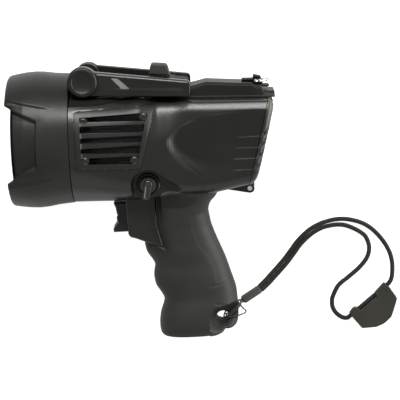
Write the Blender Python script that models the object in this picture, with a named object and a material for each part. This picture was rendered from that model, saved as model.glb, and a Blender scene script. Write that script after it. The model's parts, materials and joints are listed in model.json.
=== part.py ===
"""Handheld searchlight with a trigger grip and a folding stand, lying on its right side.

Every size is given in the light's own axes: X runs to the rear along the beam axis and starts at
the bezel's rear seam, Y runs to the top of the light and Z to its left side. The empty named
rest_pose turns and lifts the whole light on to the surface that it lies on.
Outlines and stations are written in millimetres; objects are in metres.
"""
import bpy
import bmesh
import math
from mathutils import Euler, Vector

MM = 0.001
GAP = 0.3                           # between pieces that touch, in millimetres

# How the light lies on its right side: it leans on the bezel, the grip's foot and the tail
REST_ROLL = 7.19                    # degrees about the beam axis, stand side higher than the grip
REST_YAW = 4.86                     # degrees, bezel end higher than the tail
REST_PLACE = (-47.17, 43.22, 43.06)    # where the light's own zero point stands

# Bezel and optics
HEAD_LEAN = 0.024                   # the bezel and what it holds lean back at the top by this slope
HEAD_AXIS = (1.0, -HEAD_LEAN, 0.0)
BEZEL_FRONT = -38.5
LOBE_STEP = 4.2                     # how far the top and bottom lobes stand ahead of the sides
LOBE_EDGES = (39.0, 33.0)           # degrees above and below the side where a lobe begins
LOBE_SLOPE = 6.0                    # degrees over which the rim climbs to a lobe
SQUEEZE_FROM = -27.0                # ahead of this place the bezel's sides are drawn back
PANEL_DEPTH = 2.2
BEZEL_OUTER = [(-38.5, 41.8), (-37.5, 42.9), (-34, 43.6), (-27, 44.6), (-21, 44.9), (-15, 44.5),
               (-8, 43.4), (2.2, 42.6)]
BEZEL_INNER = [(2.2, 39.5), (-29.4, 39.5), (-29.6, 38.6), (-33.2, 38.6), (-33.4, 36.4),
               (-34.0, 36.4), (-38.5, 40.2)]
BEZEL_PANEL = [(-36.0, -21.2), (-18.6, -13.6), (-18.0, 17.6), (-34.0, 25.0)]
LENS_FRONT = -32.9
LENS_RADIUS = 38.2
LENS_THICKNESS = 2.4
REFLECTOR_RIM = -28.0
REFLECTOR_FOOT = 1.6
REFLECTOR_FOCUS = 9.25
REFLECTOR_APEX = 10.0
HEAT_SINK_RADIUS = 30.0
FIN_COUNT = 7
FIN_PITCH = 6.4
FIN_END = 49.5

# Barrel: sizes at stations along X
COLLAR_RADIUS = 39.0                # spigot that enters the bezel
COLLAR_WALL = 2.4
WALL = 3.4
BARREL_STATIONS = [-13.0, 2.5, 2.6, 8, 15, 25, 35, 45, 55, 65, 80, 91, 101, 112, 124.3]
HALF_WIDTH = [(2, 42.3), (20, 40.4), (40, 37.2), (60, 33.6), (80, 31.8), (100, 31.2), (131, 30.4)]
TOP = [(2, 42.3), (14, 37.5), (26, 32.8), (40, 29.2), (60, 26.2), (85, 23.6), (131, 21.4)]
BOTTOM = [(2, -42.3), (30, -42.4), (60, -41.0), (100, -38.9), (124, -37.3), (131, -36.8)]
SQUARENESS = [(2, 2.0), (20, 2.25), (40, 2.9), (60, 3.8), (85, 4.8), (131, 5.0)]
COVER_EDGE = [(2, 34.6), (20, 42.0), (30, 49.0), (45, 60.0), (60, 68.0), (80, 76.0), (131, 79.0)]
REAR_SLOPE = 0.265                  # the tail's end leans back by this much for each unit of height

# Top cover: half width of its ridge, rise of its shoulder, and top height along X
RIDGE_HALF = [(2.9, 20.6), (40, 20.6), (60, 19.2), (80, 16.6), (91, 15.4), (135.3, 15.0)]
SHOULDER_RISE = [(2.9, 4.2), (25, 4.0), (40, 2.4), (60, 1.2), (80, 0.8), (135.3, 0.6)]
RIDGE_TOP = [(2.9, 31.5), (81.3, 31.5), (91, 33.7), (112, 31.9), (121.6, 31.4), (122.2, 29.6),
             (127.0, 29.2), (127.6, 26.4), (135.3, 25.5)]
COVER_STATIONS = [3.6, 8, 15, 25, 35, 45, 55, 65, 80, 91, 101, 112, 121.6, 122.2, 127.0, 127.6,
                  135.3]

# Side grille: corners of its frame and opening, and the left and right ends of its slots
GRILLE_FRAME = [(6.6, -15.6), (46.6, -17.6), (57.6, 22.2), (6.6, 21.0)]
GRILLE_OPENING = [(9.9, -12.2), (44.9, -14.0), (52.6, 17.8), (9.9, 17.2)]
GRILLE_SLOTS = [((14.6, 17.2), (12.8, 17.8)), ((7.7, 11.8), (5.9, 10.8)), ((1.3, 4.6), (-0.3, 3.9)),
                ((-5.1, -2.2), (-7.4, -2.2)), ((-12.2, -8.4), (-14.0, -9.0))]
GRILLE_DEPTH = 1.9
GRILLE_SCREWS = [(12.2, 15.0), (50.4, 15.6), (12.2, -10.0), (43.2, -11.6)]
GRILLE_BOSS_RADIUS = 2.7

# Shallow recess and finger grooves on each side of the tail
RECESS_CURVE = [(99.7, 15.9), (81.2, 12.7), (68.7, 7.4), (63.4, 1.8), (62.9, -1.8), (64.7, -7.8),
                (71.1, -15.8), (80.5, -22.6), (90.0, -26.6)]
RECESS_FLOOR = 29.6
GROOVE_STARTS = [(108.6, -0.8), (106.4, -7.8), (105.4, -14.8), (105.0, -22.0)]

# Grip: height, front, rear and half width of its sections
GRIP_SECTIONS = [
    (-36.4, 51.4, 94.8, 24.4), (-40.0, 51.2, 93.6, 23.4), (-44.5, 50.6, 90.6, 21.2),
    (-52, 49.0, 88.3, 18.6), (-62, 47.2, 89.8, 17.0), (-72, 44.8, 93.2, 16.6),
    (-78, 45.8, 95.6, 16.7), (-83, 49.1, 97.6, 16.6), (-87, 51.4, 99.0, 16.6),
    (-91, 50.3, 100.2, 17.1), (-95, 49.8, 101.3, 17.5), (-101, 50.6, 103.2, 17.5),
    (-106, 53.8, 104.6, 17.2), (-110.5, 56.2, 104.9, 17.4), (-115, 55.2, 105.2, 18.4),
    (-121, 52.8, 105.4, 19.6), (-127, 51.9, 105.0, 20.4), (-131.5, 52.0, 103.6, 20.3),
    (-134.2, 52.3, 101.0, 18.8), (-135.9, 54.2, 95.0, 17.2)]
GRIP_WALL = 2.6
CORE_TOP, CORE_FOOT = 1, 16             # the sections that the housing's core follows
HEEL_OUTLINE = [(86.6, -121.0), (89.0, -116.6), (98.0, -114.8), (112.0, -112.6), (112.0, -146.0),
                (83.4, -146.0), (85.2, -135.0)]
HEEL_HOLLOW = [(122.0, -112.2), (98.4, -116.2), (93.0, -117.6), (89.8, -120.6), (88.6, -124.5),
               (88.8, -129.5), (91.6, -134.6), (92.4, -150.0), (122.0, -150.0)]
HEEL_TAB_HALF = 6.6
LANYARD_HOLE = (94.4, -124.9)
LANYARD_HOLE_SIZE = (4.3, 3.9)
TRIGGER_BOX = [(34.6, -40.4), (35.0, -64.2), (36.4, -66.2), (40.0, -67.2), (44.8, -69.3),
               (58.0, -73.8), (54.6, -58.5), (54.6, -40.4)]
TRIGGER_BOX_ROOM = [(20.0, -20.0), (20.0, -67.4), (40.0, -67.9), (44.6, -70.1), (58.6, -74.9),
                    (55.3, -58.5), (55.3, -20.0)]
TRIGGER_BOX_HALF = 15.5

# Controls
DIAL_CENTRE = (50.5, -29.6)
DIAL_RADIUS = 7.7
POCKET_RADIUS = 11.0
POCKET_FLOOR = 25.0
POCKET_PLATE = 2.8
SHALLOW_FLOOR = 30.6
TRIGGER_OUTLINE = [(26.2, -43.6), (27.5, -47.0), (28.0, -51.0), (28.9, -51.8), (27.7, -53.2),
                   (28.0, -56.0), (28.8, -56.8), (26.6, -59.4), (25.2, -61.2), (25.2, -63.2),
                   (43.0, -63.2), (43.0, -43.6)]
TRIGGER_HALF = 9.6
TRIGGER_TRAVEL = 4.0
TRIGGER_AXIS = (36.0, -54.0)

# Stand
STAND_PIVOT = (12.6, 38.8)
HUB_RADII = (9.8, 8.5)              # left and right
ARM_INNER = 21.5
ARM_OUTER = 28.0
PIN_RADIUS = 2.6
BOSS_RADIUS = 8.2
ARM_TOP = [(79.4, 36.7), (20.6, 44.8)]
ARM_BOTTOM = [(16.0, 29.7), (78.3, 26.4)]
ARM_END_RADIUS = 2.6
ARM_PANEL = [(26.0, 33.0), (78.0, 29.8), (78.0, 35.0), (26.0, 42.2)]
STRIPE = [(37.4, 33.2), (42.6, 33.0), (35.0, 40.2), (30.6, 40.7)]
CROSSBAR = [(71.0, 32.4), (79.4, 32.4), (79.4, 35.4), (77.8, 36.6), (71.0, 37.4)]
BRIDGE = [(54.0, 33.0), (68.4, 33.0), (68.4, 37.6), (54.0, 39.2)]
TAB = [(54.2, 39.5), (68.2, 37.95), (66.4, 44.8), (65.0, 45.6), (56.8, 46.4), (55.6, 45.7)]
TAB_HALF = 8.0

# Tail door and its latch
DOOR_FRONT = 124.7
DOOR_HINGE = (116.6, -38.9)
KNUCKLE_RADIUS = 3.1
KNUCKLE_HALF = 3.4
EAR_FAR = 6.3
HINGE_PIN_RADIUS = 1.6
HINGE_PIN_BORE = 1.1
DOOR_STATIONS = [(124.7, 0.0), (127.2, 0.0), (128.5, 0.7), (129.3, 2.4)]
DOOR_BROW = [(128.4, 10.2), (132.2, 13.6), (133.6, 21.0), (130.8, 21.0)]
LATCH_AXIS_Y = 30.1
LATCH_KNOB_RADIUS = 2.9
LATCH_HALF = 6.5
LATCH_SEAT = 27.3
LATCH_BRACKET = [(114.6, 32.2), (121.4, 31.8), (122.1, 31.2), (122.1, 27.6), (127.2, 27.6),
                 (127.2, 34.2), (122.4, 35.5), (122.0, 33.1), (114.6, 33.3)]

# Lanyard: a thin cord hitched through the heel's hole, a ferrule, and a strap that runs through a
# slider. The cord's route is in the light's own axes; the others lie on the surface and are given
# in its axes, with the rest pose already applied.
CORD_RADIUS = 0.5
CORD_SPACING = 3.4                  # between the points of the cord's centre line
CORD_ROUTE = [(106.4, -122.3, -16.0), (105.6, -122.6, -15.0), (105.8, -122.3, -12.0),
              (106.3, -121.0, -7.0), (106.4, -119.9, -2.5), (106.3, -119.0, 2.0),
              (105.9, -118.7, 6.4), (104.9, -119.3, 7.7), (103.4, -120.5, 7.7),
              (99.6, -123.5, 7.7), (98.3, -124.3, 7.6), (96.8, -125.2, 7.0), (95.6, -126.2, 5.0),
              (95.2, -126.9, 2.0), (95.4, -126.5, -3.0), (96.4, -125.2, -6.4),
              (98.0, -124.1, -7.8), (101.0, -121.9, -7.9), (104.8, -118.8, -7.9),
              (106.6, -117.5, -6.8), (107.4, -117.0, -2.0), (107.2, -116.7, 4.0),
              (106.6, -117.2, 8.0), (108.2, -120.2, 5.6), (110.1, -123.1, 1.5),
              (109.6, -124.3, 2.5), (107.0, -124.4, 6.0), (105.3, -124.5, 7.5),
              (103.9, -124.6, 7.8), (99.8, -125.2, 7.8), (98.2, -125.4, 7.6), (97.1, -125.3, 6.2),
              (96.8, -124.3, 4.8), (96.7, -123.4, 5.6), (97.2, -122.9, 7.3), (99.2, -122.2, 7.9),
              (103.0, -119.2, 7.8), (104.9, -117.8, 7.8), (105.9, -117.3, 6.3),
              (106.3, -117.8, 2.0), (106.4, -118.6, -2.5), (106.1, -119.9, -7.0),
              (105.5, -121.2, -12.0), (105.2, -121.6, -15.2), (105.9, -121.3, -16.2)]
FERRULE_NOSE = (56.7, -75.25, 3.0)
FERRULE_TAIL = (70.15, -67.09, 3.0)
FERRULE_SHAPE = [(0.0, 1.3), (1.7, 1.5), (2.4, 2.5), (3.3, 2.9), (14.5, 2.9), (15.7, 2.3)]
STRAP_RADIUS = 1.35
STRAP_SPACING = 9.0
STRAP_TO_SLIDER = [(69.9, -65.5, 2.9), (74.6, -61.2, 1.9), (78.9, -56.9, 1.5),
                   (87.2, -48.3, 1.5), (92.6, -41.8, 1.5), (98.1, -35, 1.5),
                   (105.7, -28.3, 1.5), (113, -24.4, 1.5), (118.9, -22.6, 1.5),
                   (124.7, -21.6, 1.5), (130.1, -21.6, 1.5), (135.5, -22.6, 1.5),
                   (140.8, -24.3, 1.5), (146, -27.2, 1.5), (151.2, -31.9, 1.5),
                   (156.3, -38.6, 1.5), (159.7, -45.6, 1.5), (161.1, -52.4, 1.7),
                   (160.9, -59.1, 2.1), (160, -63.7, 2.4), (158.1, -66.7, 2.55)]
STRAP_FROM_SLIDER = [(129.5, -89.05, 2.55), (126.9, -89, 2.4), (123.9, -87.5, 2.1),
                     (121.1, -84.7, 1.7), (119.5, -81.4, 1.5), (119.3, -78.1, 1.5),
                     (119.8, -74.7, 1.5), (123.2, -68, 1.5), (126.4, -64.7, 1.5),
                     (131, -61.4, 1.5), (139, -54.9, 1.5), (144.4, -48.3, 1.5),
                     (146.1, -41.6, 1.5), (144.3, -34.7, 1.5), (140.5, -30.9, 1.5),
                     (135.2, -27.8, 1.5), (129.9, -25.8, 1.5), (124.5, -25.3, 1.5),
                     (119.2, -25.9, 1.5), (114.2, -27.2, 1.5), (107.5, -30.8, 1.5),
                     (100.2, -37.1, 1.5), (94.9, -43.7, 1.5), (89.4, -50.4, 1.5),
                     (81.1, -59, 1.5), (76.7, -63.4, 1.9), (71.5, -67.9, 2.9)]
SLIDER_OUTLINE = [(154.9, -65.6), (158.7, -69.5), (163.5, -76.9), (161, -84.2), (159, -89.4),
                  (153.7, -94), (148.4, -96), (138.9, -96.5), (130.3, -85.7), (133.5, -81.8),
                  (136, -81.8), (138.1, -84.45), (149.9, -75.25), (147.9, -72.7), (150, -70.6)]
SLIDER_THICKNESS = 5.1
SLIDER_BORE = 1.65

# Batteries: four size C cells, two by two
CELL_RADIUS = 12.8
CELL_LENGTH = 47.0
CELL_FRONT = 64.5
CELL_MIDDLE_Y = -8.0
CELL_PITCH = 25.9

# Clamshell screws, sunk in the right side: place and depth of the surface there
HOUSING_SCREWS = [(16.0, -27.0), (98.0, -31.5), (42.0, -50.0), (114.0, 18.6)]


def smooth_step(t):
    t = min(1.0, max(0.0, t))
    return t * t * (3.0 - 2.0 * t)


def along(x, stations):
    """Reads a value at x between (place, value) pairs."""
    if x <= stations[0][0]:
        return stations[0][1]
    for (x0, a), (x1, b) in zip(stations, stations[1:]):
        if x <= x1:
            return a + (b - a) * (x - x0) / (x1 - x0)
    return stations[-1][1]


def power_of(value, power):
    """The value's size to a power, with its sign kept."""
    return math.copysign(abs(value) ** power, value)


# Making and combining solids


def material(name, colour, roughness, metallic=0.0):
    made = bpy.data.materials.new(name)
    made.use_nodes = True
    made.diffuse_color = (*colour, 1.0)
    shader = made.node_tree.nodes["Principled BSDF"]
    shader.inputs["Base Color"].default_value = (*colour, 1.0)
    shader.inputs["Roughness"].default_value = roughness
    shader.inputs["Metallic"].default_value = metallic
    return made


def finish(bm, name, look, sharp=32.0):
    """Makes an object of a closed mesh in millimetres, facing outwards, smooth where round."""
    bmesh.ops.remove_doubles(bm, verts=bm.verts, dist=1e-3)
    bmesh.ops.scale(bm, vec=(MM, MM, MM), verts=bm.verts)
    bmesh.ops.recalc_face_normals(bm, faces=bm.faces)
    if bm.calc_volume(signed=True) < 0.0:
        bmesh.ops.reverse_faces(bm, faces=bm.faces)
    mesh = bpy.data.meshes.new(name)
    bm.to_mesh(mesh)
    bm.free()
    made = bpy.data.objects.new(name, mesh)
    bpy.context.scene.collection.objects.link(made)
    mesh.materials.append(look)
    mesh.shade_smooth()
    mesh.set_sharp_from_angle(angle=math.radians(sharp))
    return made


def skin(bm, rings, joined=False):
    """Bridges equal closed rings of points; joined also bridges the last ring to the first."""
    made = [[bm.verts.new(p) for p in ring] for ring in rings]
    count = len(rings[0])
    pairs = list(zip(made, made[1:]))
    if joined:
        pairs.append((made[-1], made[0]))
    for a, b in pairs:
        for i in range(count):
            j = (i + 1) % count
            bm.faces.new((a[i], a[j], b[j], b[i]))
    return made


def loft(name, rings, look, sharp=32.0, twisted=True):
    """A solid through rings of points, closed at each end; twisted sides become triangles."""
    bm = bmesh.new()
    made = skin(bm, rings)
    if twisted:
        bmesh.ops.triangulate(bm, faces=bm.faces)
    bm.faces.new(made[0])
    bm.faces.new(made[-1])
    return finish(bm, name, look, sharp)


def tube(name, outer, inner, look, sharp=32.0):
    """A solid whose wall lies between an outer and an inner loft."""
    bm = bmesh.new()
    skin(bm, list(outer) + list(reversed(inner)), joined=True)
    bmesh.ops.triangulate(bm, faces=bm.faces)
    return finish(bm, name, look, sharp)


def prism(name, outline, low, high, look, sharp=32.0):
    """A flat outline in X and Y, drawn out along Z."""
    rings = [[Vector((x, y, z)) for x, y in outline] for z in (low, high)]
    return loft(name, rings, look, sharp, twisted=False)


def turned(name, profile, centre, axis, look, steps=32, sharp=32.0):
    """A profile of (height along the axis, radius) pairs, spun round the axis through centre.

    A profile that starts and ends on the axis is solid; any other is a closed ring.
    """
    bm = bmesh.new()
    turn = Vector((0.0, 0.0, 1.0)).rotation_difference(Vector(axis)).to_matrix()
    middle = Vector(centre)
    verts = [bm.verts.new(turn @ Vector((r, 0.0, h)) + middle) for h, r in profile]
    edges = [bm.edges.new(pair) for pair in zip(verts, verts[1:])]
    if profile[0][1] > 0.0:
        edges.append(bm.edges.new((verts[-1], verts[0])))
    bmesh.ops.spin(bm, geom=verts + edges, cent=middle, axis=axis, angle=2.0 * math.pi,
                   steps=steps, use_merge=True)
    return finish(bm, name, look, sharp)


def rod(name, radius, low, high, centre, axis, look, steps=16):
    return turned(name, [(low, 0.0), (low, radius), (high, radius), (high, 0.0)], centre, axis,
                  look, steps)


def box(name, low, high, look):
    outline = [(low[0], low[1]), (high[0], low[1]), (high[0], high[1]), (low[0], high[1])]
    return prism(name, outline, low[2], high[2], look)


def together(name, tools, look):
    """One object with the meshes of several that stand clear of each other."""
    bm = bmesh.new()
    for tool in tools:
        bm.from_mesh(tool.data)
        bpy.data.objects.remove(tool, do_unlink=True)
    mesh = bpy.data.meshes.new(name)
    bm.to_mesh(mesh)
    bm.free()
    mesh.materials.append(look)
    made = bpy.data.objects.new(name, mesh)
    bpy.context.scene.collection.objects.link(made)
    return made


def hide(tool):
    tool.hide_render = True
    tool.display_type = "WIRE"
    return tool


def combine(target, tool, operation):
    step = target.modifiers.new(operation.lower(), "BOOLEAN")
    step.operation = operation
    step.solver = "EXACT"
    step.object = hide(tool)


def cut(target, *tools):
    for tool in tools:
        combine(target, tool, "DIFFERENCE")


def join(target, *tools):
    for tool in tools:
        combine(target, tool, "UNION")


def keep(target, tool):
    combine(target, tool, "INTERSECT")


def bevelled(target, width, segments=2, limit=50.0):
    step = target.modifiers.new("edge", "BEVEL")
    step.width = width * MM
    step.segments = segments
    step.limit_method = "ANGLE"
    step.angle_limit = math.radians(limit)


def settled(source, name, sharp=32.0):
    """A new object with the shape that the source has after its modifiers."""
    graph = bpy.context.evaluated_depsgraph_get()
    mesh = bpy.data.meshes.new_from_object(source.evaluated_get(graph))
    mesh.set_sharp_from_angle(angle=math.radians(sharp))
    made = bpy.data.objects.new(name, mesh)
    bpy.context.scene.collection.objects.link(made)
    hide(source)
    return made


def arc(centre, radius, start, stop, count):
    """Points on an arc; angles in degrees from +X towards +Y."""
    step = (stop - start) / (count - 1)
    turns = [math.radians(start + i * step) for i in range(count)]
    return [(centre[0] + radius * math.cos(a), centre[1] + radius * math.sin(a)) for a in turns]


def smooth_route(route, spacing):
    """Points at an even spacing on a smooth curve through the route's points."""
    places = [Vector(p) for p in route]
    places = [2.0 * places[0] - places[1]] + places + [2.0 * places[-1] - places[-2]]
    fine = []
    for a, b, c, d in zip(places, places[1:], places[2:], places[3:]):
        for i in range(24):
            t = i / 24.0
            fine.append(0.5 * (2.0 * b + (c - a) * t + (2.0 * a - 5.0 * b + 4.0 * c - d) * t ** 2
                               + (3.0 * b - a - 3.0 * c + d) * t ** 3))
    fine.append(places[-2])
    lengths = [0.0]
    for a, b in zip(fine, fine[1:]):
        lengths.append(lengths[-1] + (b - a).length)
    count = round(lengths[-1] / spacing)
    points, i = [], 0
    for k in range(count + 1):
        reach = lengths[-1] * k / count
        while i < len(fine) - 2 and lengths[i + 1] < reach:
            i += 1
        share = (reach - lengths[i]) / (lengths[i + 1] - lengths[i])
        points.append(fine[i].lerp(fine[i + 1], share))
    return points


def cord(name, points, radius, look):
    """A round cord along its centre line, as a curve with flat ends."""
    line = bpy.data.curves.new(name, "CURVE")
    line.dimensions = "3D"
    line.bevel_depth = radius * MM
    line.bevel_resolution = 2
    line.use_fill_caps = True
    spline = line.splines.new("POLY")
    spline.points.add(len(points) - 1)
    for point, place in zip(spline.points, points):
        point.co = (*(place * MM), 1.0)
    line.materials.append(look)
    made = bpy.data.objects.new(name, line)
    bpy.context.scene.collection.objects.link(made)
    return made


def shifted(outline, out):
    """An outline moved outwards by a distance, corner by corner."""
    area = sum(a[0] * b[1] - b[0] * a[1] for a, b in zip(outline, outline[1:] + outline[:1]))
    turn = out if area > 0.0 else -out
    moved = []
    for before, here, after in zip(outline[-1:] + outline[:-1], outline, outline[1:] + outline[:1]):
        p, q, r = Vector(before), Vector(here), Vector(after)
        a, b = (q - p).normalized(), (r - q).normalized()
        na, nb = Vector((a.y, -a.x)), Vector((b.y, -b.x))
        mitre = (na + nb) / max(0.4, 1.0 + na.dot(nb))
        moved.append(tuple(q + mitre * turn))
    return moved


# Materials


def looks():
    return {
        "rubber": material("soft_rubber", (0.030, 0.030, 0.029), 0.62),
        "nylon": material("black_nylon", (0.026, 0.026, 0.025), 0.42),
        "grip": material("grip_rubber", (0.042, 0.042, 0.039), 0.70),
        "clear": material("clear_polycarbonate", (0.90, 0.93, 0.95), 0.03),
        "mirror": material("vapour_chrome", (0.90, 0.90, 0.90), 0.06, 1.0),
        "aluminium": material("black_anodised", (0.035, 0.035, 0.036), 0.38, 0.9),
        "board": material("circuit_board", (0.02, 0.14, 0.06), 0.45),
        "phosphor": material("led_phosphor", (0.85, 0.72, 0.12), 0.35),
        "steel": material("bright_steel", (0.80, 0.80, 0.81), 0.22, 1.0),
        "screw": material("black_screw", (0.05, 0.05, 0.05), 0.33, 0.9),
        "brass": material("contact_brass", (0.72, 0.56, 0.24), 0.35, 1.0),
        "cell": material("battery_wrap", (0.06, 0.06, 0.07), 0.35),
        "cord": material("cord_braid", (0.035, 0.034, 0.026), 0.8),
        "ferrule": material("grey_ferrule", (0.14, 0.14, 0.12), 0.45),
        "stripe": material("grey_stripe", (0.25, 0.25, 0.25), 0.5),
        "strap": material("strap_braid", (0.028, 0.030, 0.028), 0.85),
        "seal": material("silicone_seal", (0.05, 0.05, 0.055), 0.6),
    }


# Barrel form, shared by the housing, the top cover, the grilles and the tail door


def barrel_size(x, inset=0.0):
    top, bottom = along(x, TOP), along(x, BOTTOM)
    return along(x, HALF_WIDTH) - inset, 0.5 * (top + bottom), 0.5 * (top - bottom) - inset


def lean(x):
    """How far the barrel's section leans back there for each unit of height."""
    front = HEAD_LEAN * (1.0 - smooth_step((x - 2.6) / 30.0))
    return front + REAR_SLOPE * smooth_step((x - 84.0) / 38.0)


def barrel_point(x, angle, inset=0.0):
    """A point of the barrel's section at x: the angle is 0 at the left side, 90 at the top."""
    half, middle, tall = barrel_size(x, inset)
    power = 2.0 / along(x, SQUARENESS)
    z = power_of(math.cos(math.radians(angle)), power) * half
    y = middle + power_of(math.sin(math.radians(angle)), power) * tall
    return Vector((x + lean(x) * y, y, z))


def side_at(x, y):
    """How far the barrel's side stands from the middle plane."""
    half, middle, tall = barrel_size(x)
    power = along(x, SQUARENESS)
    return half * (1.0 - min(1.0, abs((y - middle) / tall)) ** power) ** (1.0 / power)


def barrel_ring(x, inset=0.0, count=23, deck=3):
    """The barrel's section: round the bottom from left to right, then back across the deck."""
    edge = along(x, COVER_EDGE)
    angles = [edge - (180.0 + 2.0 * edge) * i / (count - 1) for i in range(count)]
    ring = [barrel_point(x, a, inset) for a in angles]
    return ring + [ring[-1].lerp(ring[0], i / (deck + 1)) for i in range(1, deck + 1)]


def collar_ring(x, radius, count=23, deck=3):
    """A round ring whose points match the barrel's section behind it."""
    edge = COVER_EDGE[0][1]
    lower = [edge - (180.0 + 2.0 * edge) * i / (count - 1) for i in range(count)]
    upper = [180.0 - edge - (180.0 - 2.0 * edge) * i / (deck + 1) for i in range(1, deck + 1)]
    turns = [math.radians(a) for a in lower + upper]
    return [Vector((x + HEAD_LEAN * radius * math.sin(a), radius * math.sin(a),
                    radius * math.cos(a))) for a in turns]


def side_plate(name, corners, low_inset, high_inset, side, look, columns=7, rows=7):
    """A plate that follows the barrel's side between two depths; corners run round from the
    lower front, and side is 1 for the left and -1 for the right."""
    low_front, low_rear, high_rear, high_front = [Vector(c) for c in corners]
    rings = []
    for i in range(columns):
        t = i / (columns - 1)
        low, high = low_front.lerp(low_rear, t), high_front.lerp(high_rear, t)
        line = [low.lerp(high, j / (rows - 1)) for j in range(rows)]
        inner = [Vector((p.x, p.y, side * (side_at(p.x, p.y) - low_inset))) for p in line]
        outer = [Vector((p.x, p.y, side * (side_at(p.x, p.y) - high_inset))) for p in line]
        rings.append(inner + list(reversed(outer)))
    return loft(name, rings, look, 40.0)


# Bezel and optics


def lobe_share(angle):
    """1 on the top and bottom lobes, 0 on the sides; the angle is measured from the left side."""
    off = abs((angle + 90.0) % 180.0 - 90.0)
    edge = LOBE_EDGES[0] if angle % 360.0 < 180.0 else LOBE_EDGES[1]
    return smooth_step((off - edge + LOBE_SLOPE / 2.0) / LOBE_SLOPE)


def bezel_ring(place, radius, steps):
    """One ring of the bezel; ahead of SQUEEZE_FROM its sides are drawn back and in."""
    outside = radius > 40.2 and place < SQUEEZE_FROM
    moved = outside or place < -36.0
    draw_back = LOBE_STEP
    if outside:
        draw_back *= (SQUEEZE_FROM - place) / (SQUEEZE_FROM - BEZEL_FRONT)
    ring = []
    for i in range(steps):
        angle = 360.0 * i / steps
        side = 1.0 - lobe_share(angle) if moved else 0.0
        r = radius - side * (0.9 if outside else 0.0)
        a = math.radians(angle)
        height = r * math.sin(a)
        ring.append(Vector((place + side * draw_back + HEAD_LEAN * height, height,
                            r * math.cos(a))))
    return ring


def bezel_panel_cutter(side, look):
    """What sinks the four-sided panel into one side of the bezel."""
    low_front, low_rear, high_rear, high_front = [Vector(c) for c in BEZEL_PANEL]
    radius = 44.2 - PANEL_DEPTH
    rings = []
    for t in (-0.3, 0.0, 0.34, 0.67, 1.0):
        low, high = low_front.lerp(low_rear, t), high_front.lerp(high_rear, t)
        line = [low.lerp(high, i / 8.0) for i in range(9)]
        depth = [math.sqrt(radius ** 2 - p.y ** 2) for p in line]
        inner = [Vector((p.x, p.y, side * d)) for p, d in zip(line, depth)]
        outer = [Vector((p.x, p.y * 1.12, side * (d + 8.0))) for p, d in zip(line, depth)]
        rings.append(inner + list(reversed(outer)))
    return loft("bezel_panel_cutter", rings, look)


def make_bezel(look):
    steps = 48
    bm = bmesh.new()
    skin(bm, [bezel_ring(h, r, steps) for h, r in BEZEL_OUTER + BEZEL_INNER], joined=True)
    bezel = finish(bm, "bezel", look["rubber"], 28.0)
    cut(bezel, bezel_panel_cutter(1.0, look["rubber"]), bezel_panel_cutter(-1.0, look["rubber"]))


def reflector_radius(x):
    """The radius of the parabola at x."""
    return math.sqrt(4.0 * REFLECTOR_FOCUS * (REFLECTOR_APEX - x))


def make_optics(look):
    """Every piece is spun about the beam from a place on it; its profile starts at that place."""
    rod("lens", LENS_RADIUS, 0.0, LENS_THICKNESS, (LENS_FRONT, 0.0, 0.0), HEAD_AXIS, look["clear"],
        28)
    turned("lens_gasket", [(0.0, 36.9), (0.0, 38.2), (1.8, 38.2), (1.8, 36.9)],
           (LENS_FRONT + LENS_THICKNESS + GAP, 0.0, 0.0), HEAD_AXIS, look["seal"], 28)
    count = 7
    deep = REFLECTOR_FOOT - REFLECTOR_RIM
    bowl = [(deep * (1.0 - i / (count - 1)),
             reflector_radius(REFLECTOR_FOOT - deep * i / (count - 1))) for i in range(count)]
    flange = [(0.0, 38.9), (1.4, 38.9)]
    back = [(h + 0.5, r + 1.4) for h, r in reversed(bowl[1:-1])]
    foot = [(deep, bowl[0][1] + 1.5)]
    turned("reflector", bowl + flange + back + foot, (REFLECTOR_RIM, 0.0, 0.0), HEAD_AXIS,
           look["mirror"], 28, 40.0)
    dome = [(1.0 - 2.4 * math.sin(a), 3.0 * math.cos(a)) for a in
            [math.radians(d) for d in (66, 44, 22, 0)]]
    base = [(1.0, 4.4), (2.2, 4.4), (2.2, 0.0)]
    turned("led_emitter", [(-1.4, 0.0)] + dome + base, (0.0, -0.6, 0.0), HEAD_AXIS,
           look["phosphor"], 14)
    rod("led_board", 15.0, 2.5, 4.1, (0.0, -0.6, 0.0), HEAD_AXIS, look["board"], 20)


def make_heat_sink(look):
    """A round base, flat under the top cover, with fins behind it that the grilles show."""
    turns = [2.0 * math.pi * i / 28 for i in range(28)]
    section = [(min(HEAT_SINK_RADIUS * math.sin(a), 20.4), HEAT_SINK_RADIUS * math.cos(a))
               for a in turns]
    base = loft("heat_sink_form", [[Vector((x + HEAD_LEAN * y, y, z)) for y, z in section]
                                   for x in (4.5, 9.4)], look["aluminium"], twisted=False)
    for i in range(FIN_COUNT):
        y = FIN_PITCH * (i - 0.5 * (FIN_COUNT - 1))
        reach = math.sqrt(HEAT_SINK_RADIUS ** 2 - y * y) - 1.5
        join(base, box(f"fin_{i + 1}", (7.5, y - 0.8, -reach), (FIN_END, y + 0.8, reach),
                       look["aluminium"]))
    settled(base, "heat_sink")


# Housing


def grip_ring(section, inset=0.0, count=16):
    """One level section of the grip: an oval with fuller sides."""
    height, front, rear, half = section
    middle, long, wide = 0.5 * (front + rear), 0.5 * (rear - front) - inset, half - inset
    turns = [2.0 * math.pi * i / count for i in range(count)]
    return [Vector((middle + power_of(math.cos(a), 0.78) * long, height,
                    power_of(math.sin(a), 0.72) * wide)) for a in turns]


def pocket_outline():
    """The pocket round the mode dial, open at the barrel's lower edge."""
    arch = arc(DIAL_CENTRE, POCKET_RADIUS, 200.0, 42.0, 11)
    return arch + [(63.6, -25.9), (63.6, -60.0), (39.4, -60.0), (39.4, -40.0)]


def recess_outline():
    """The shallow D on the tail's side, open at the rear."""
    return [(140.0, 16.6)] + RECESS_CURVE + [(140.0, -26.6)]


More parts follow.
